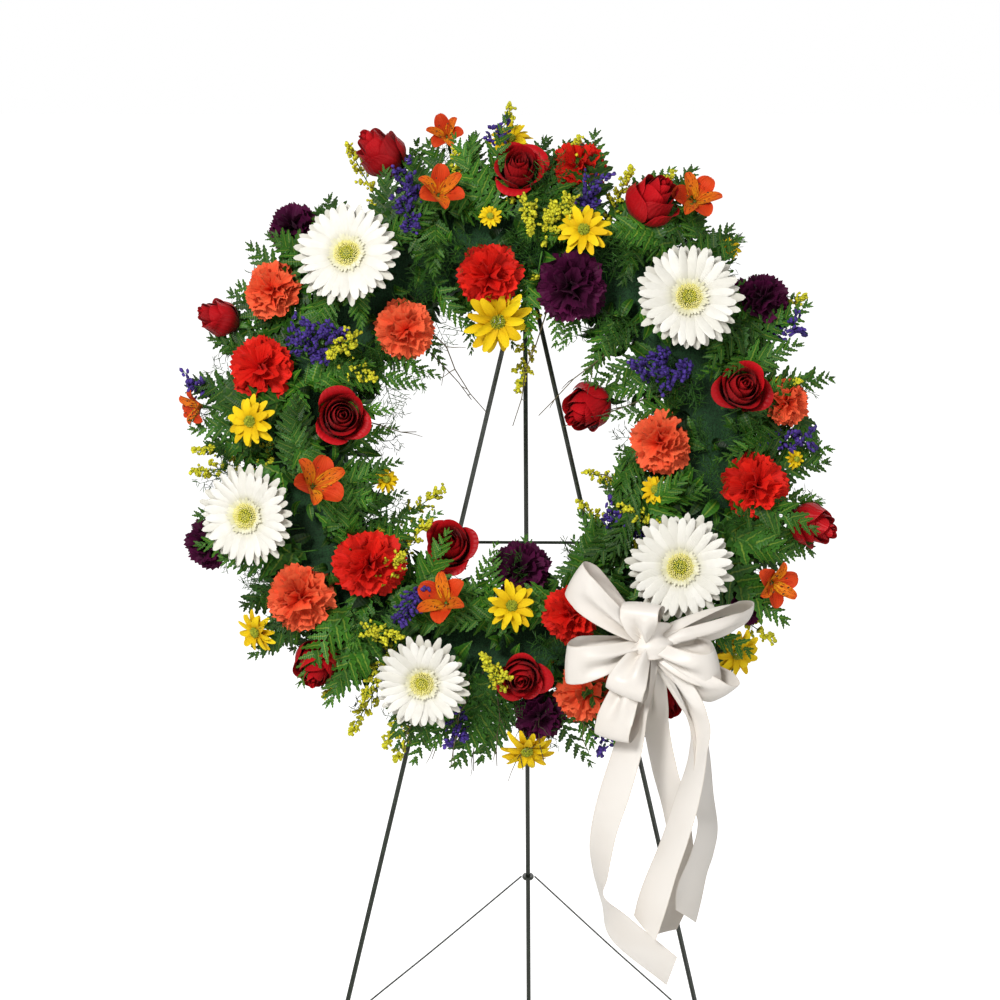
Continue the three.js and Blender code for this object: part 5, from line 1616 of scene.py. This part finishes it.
@dataclass
class Studio:
    """Camera, soft lights, pale floor and white surround."""

    distance: float = 3.2
    elevation: float = math.radians(8.0)
    azimuth: float = math.radians(1.6)
    view_width: float = 0.92
    middle_z: float = 62.0

    def target(self) -> np.ndarray:
        """The point at the middle of the view: the flowers' mean plane behind the view's centre."""
        x, y = from_view((500, 500))
        return to_row(np.array([x, y, self.middle_z]))

    def camera(self) -> bpy.types.Object:
        """The camera at the photograph's angle, far enough for its flat perspective."""
        data = bpy.data.cameras.new("front_camera")
        data.sensor_width = 36.0
        data.lens = 36.0 * self.distance / self.view_width
        data.clip_end = 50.0
        camera = bpy.data.objects.new("front_camera", data)
        aim = self.target()
        c, s = math.cos(self.elevation), math.sin(self.elevation)
        away = np.array([math.sin(self.azimuth) * c, -math.cos(self.azimuth) * c, s])
        camera.location = (aim + away * self.distance).tolist()
        back = unit(away)
        right = unit(np.cross([0, 0, 1], back))
        up = np.cross(back, right)
        camera.rotation_euler = matrix_of(right, up, back).to_euler()
        bpy.context.scene.collection.objects.link(camera)
        bpy.context.scene.camera = camera
        return camera

    def light(self, name: str, at: tuple[float, float, float], size: float, watts: float) -> None:
        """A square soft light that looks at the wreath."""
        data = bpy.data.lights.new(name, "AREA")
        data.size = size
        data.energy = watts
        lamp = bpy.data.objects.new(name, data)
        lamp.location = at
        back = unit(np.array(at) - self.target())
        right = unit(np.cross([0, 0, 1], back))
        lamp.rotation_euler = matrix_of(right, np.cross(back, right), back).to_euler()
        bpy.context.scene.collection.objects.link(lamp)

    def floor(self) -> None:
        """A plain pale floor, a flat grid of ten-metre squares under the feet. It glows to the
        camera, as white paper lit by its own lamps does, and meets the surround without a line."""
        n = 9
        y, x = np.meshgrid(np.linspace(-40, 40, n), np.linspace(-40, 40, n), indexing="ij")
        mesh = bpy.data.meshes.new("pale_floor")
        index = np.arange(n * n).reshape(n, n)
        quads = np.stack([index[:-1, :-1], index[:-1, 1:], index[1:, 1:], index[1:, :-1]], -1).reshape(-1, 4)
        mesh.from_pydata(np.stack([x, y, 0 * x - 0.0005], -1).reshape(-1, 3).tolist(), [], quads.tolist())
        s = Shading("pale_paper_sweep")
        glow = s.ranged(add_node(s.tree, "LightPath").outputs["Is Camera Ray"], 0.0, 1.0, 0.1, 0.85)
        values = {"Base Color": linear("#e9e8e6"), "Emission Color": WHITE, "Emission Strength": glow}
        feed(s.tree, s.tree.nodes["Principled BSDF"], values | {"Roughness": 0.9})
        mesh.materials.append(s.material)
        floor = bpy.data.objects.new("pale_floor", mesh)
        bpy.context.scene.collection.objects.link(floor)

    def surround(self) -> None:
        """A white world that the camera sees at full, and that lights the object at a third."""
        world = bpy.data.worlds.new("white_studio")
        world.use_nodes = True
        background = world.node_tree.nodes["Background"]
        background.inputs[0].default_value = WHITE
        path = add_node(world.node_tree, "LightPath")
        strength = add_node(world.node_tree, "MapRange", {0: path.outputs["Is Camera Ray"], 3: 0.33, 4: 1.0})
        world.node_tree.links.new(strength.outputs[0], background.inputs[1])
        bpy.context.scene.world = world

    def build(self) -> None:
        """Makes the whole studio."""
        self.camera()
        self.light("key_softbox", (-1.3, -2.7, 2.5), 0.9, 88.0)
        self.light("fill_softbox", (2.2, -2.4, 1.5), 1.8, 18.0)
        self.light("back_softbox", (0.3, 2.2, 2.4), 1.6, 12.0)
        self.floor()
        self.surround()
        bpy.context.scene.view_settings.view_transform = "Standard"


def matrix_of(right: np.ndarray, up: np.ndarray, back: np.ndarray) -> Matrix:
    """The turn whose columns are an object's right, up and back directions."""
    return Matrix(np.stack([right, up, back], axis=1).tolist())


@dataclass
class Easel:
    """The wire easel and the ring that it carries: CAD nodes that keep their shape."""

    finishes: Finishes

    def dress(self) -> None:
        """Gives the wires, the foam and the tray their materials."""
        wires = (
            "front_leg_left", "front_leg_right", "top_hook", "crossbar", "rear_leg", "tie_ring", "brace_left",
            "brace_right",
        )
        wanted = {name: self.finishes["wire"] for name in wires}
        wanted |= {"foam_ring": self.finishes["foam"], "ring_tray": self.finishes["tray"]}
        for name, material in wanted.items():
            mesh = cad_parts[name].data
            mesh.materials.clear()
            mesh.materials.append(material)
            log.info("%s: finished as %s", name, material.name)


def main() -> None:
    """Builds the studio, the easel's finishes, the blooms, the greens and the bow."""
    logging.basicConfig(level=logging.INFO, format="%(message)s")
    Studio().build()
    finishes = Finishes()
    Easel(finishes).dress()
    for bloom in BLOOMS:
        bloom_piece(bloom, finishes).build()
    daisies = Daisies(finishes, DAISY_SEATS)
    for number in range(len(DAISY_SEATS)):
        daisies.piece(number).build()
    lilies = Alstroemerias(finishes, LILY_SEATS)
    for number in range(len(LILY_SEATS)):
        lilies.piece(number).build()
    sprays = Sprays(finishes)
    for number, tip in enumerate(GOLDENROD_TIPS):
        sprays.piece(f"goldenrod_{number + 1}", SprayKind.GOLDENROD, tip, 8).build()
    for number, tip in enumerate(STATICE_TIPS):
        sprays.piece(f"statice_{number + 1}", SprayKind.STATICE, tip, 10).build()
    greens = Greens(finishes)
    for piece in greens.pieces():
        piece.build()
    greens.twigs().build()
    Bow(finishes, BOW_LOOPS, BOW_TAILS).build()


if __name__ == "__main__":
    main()
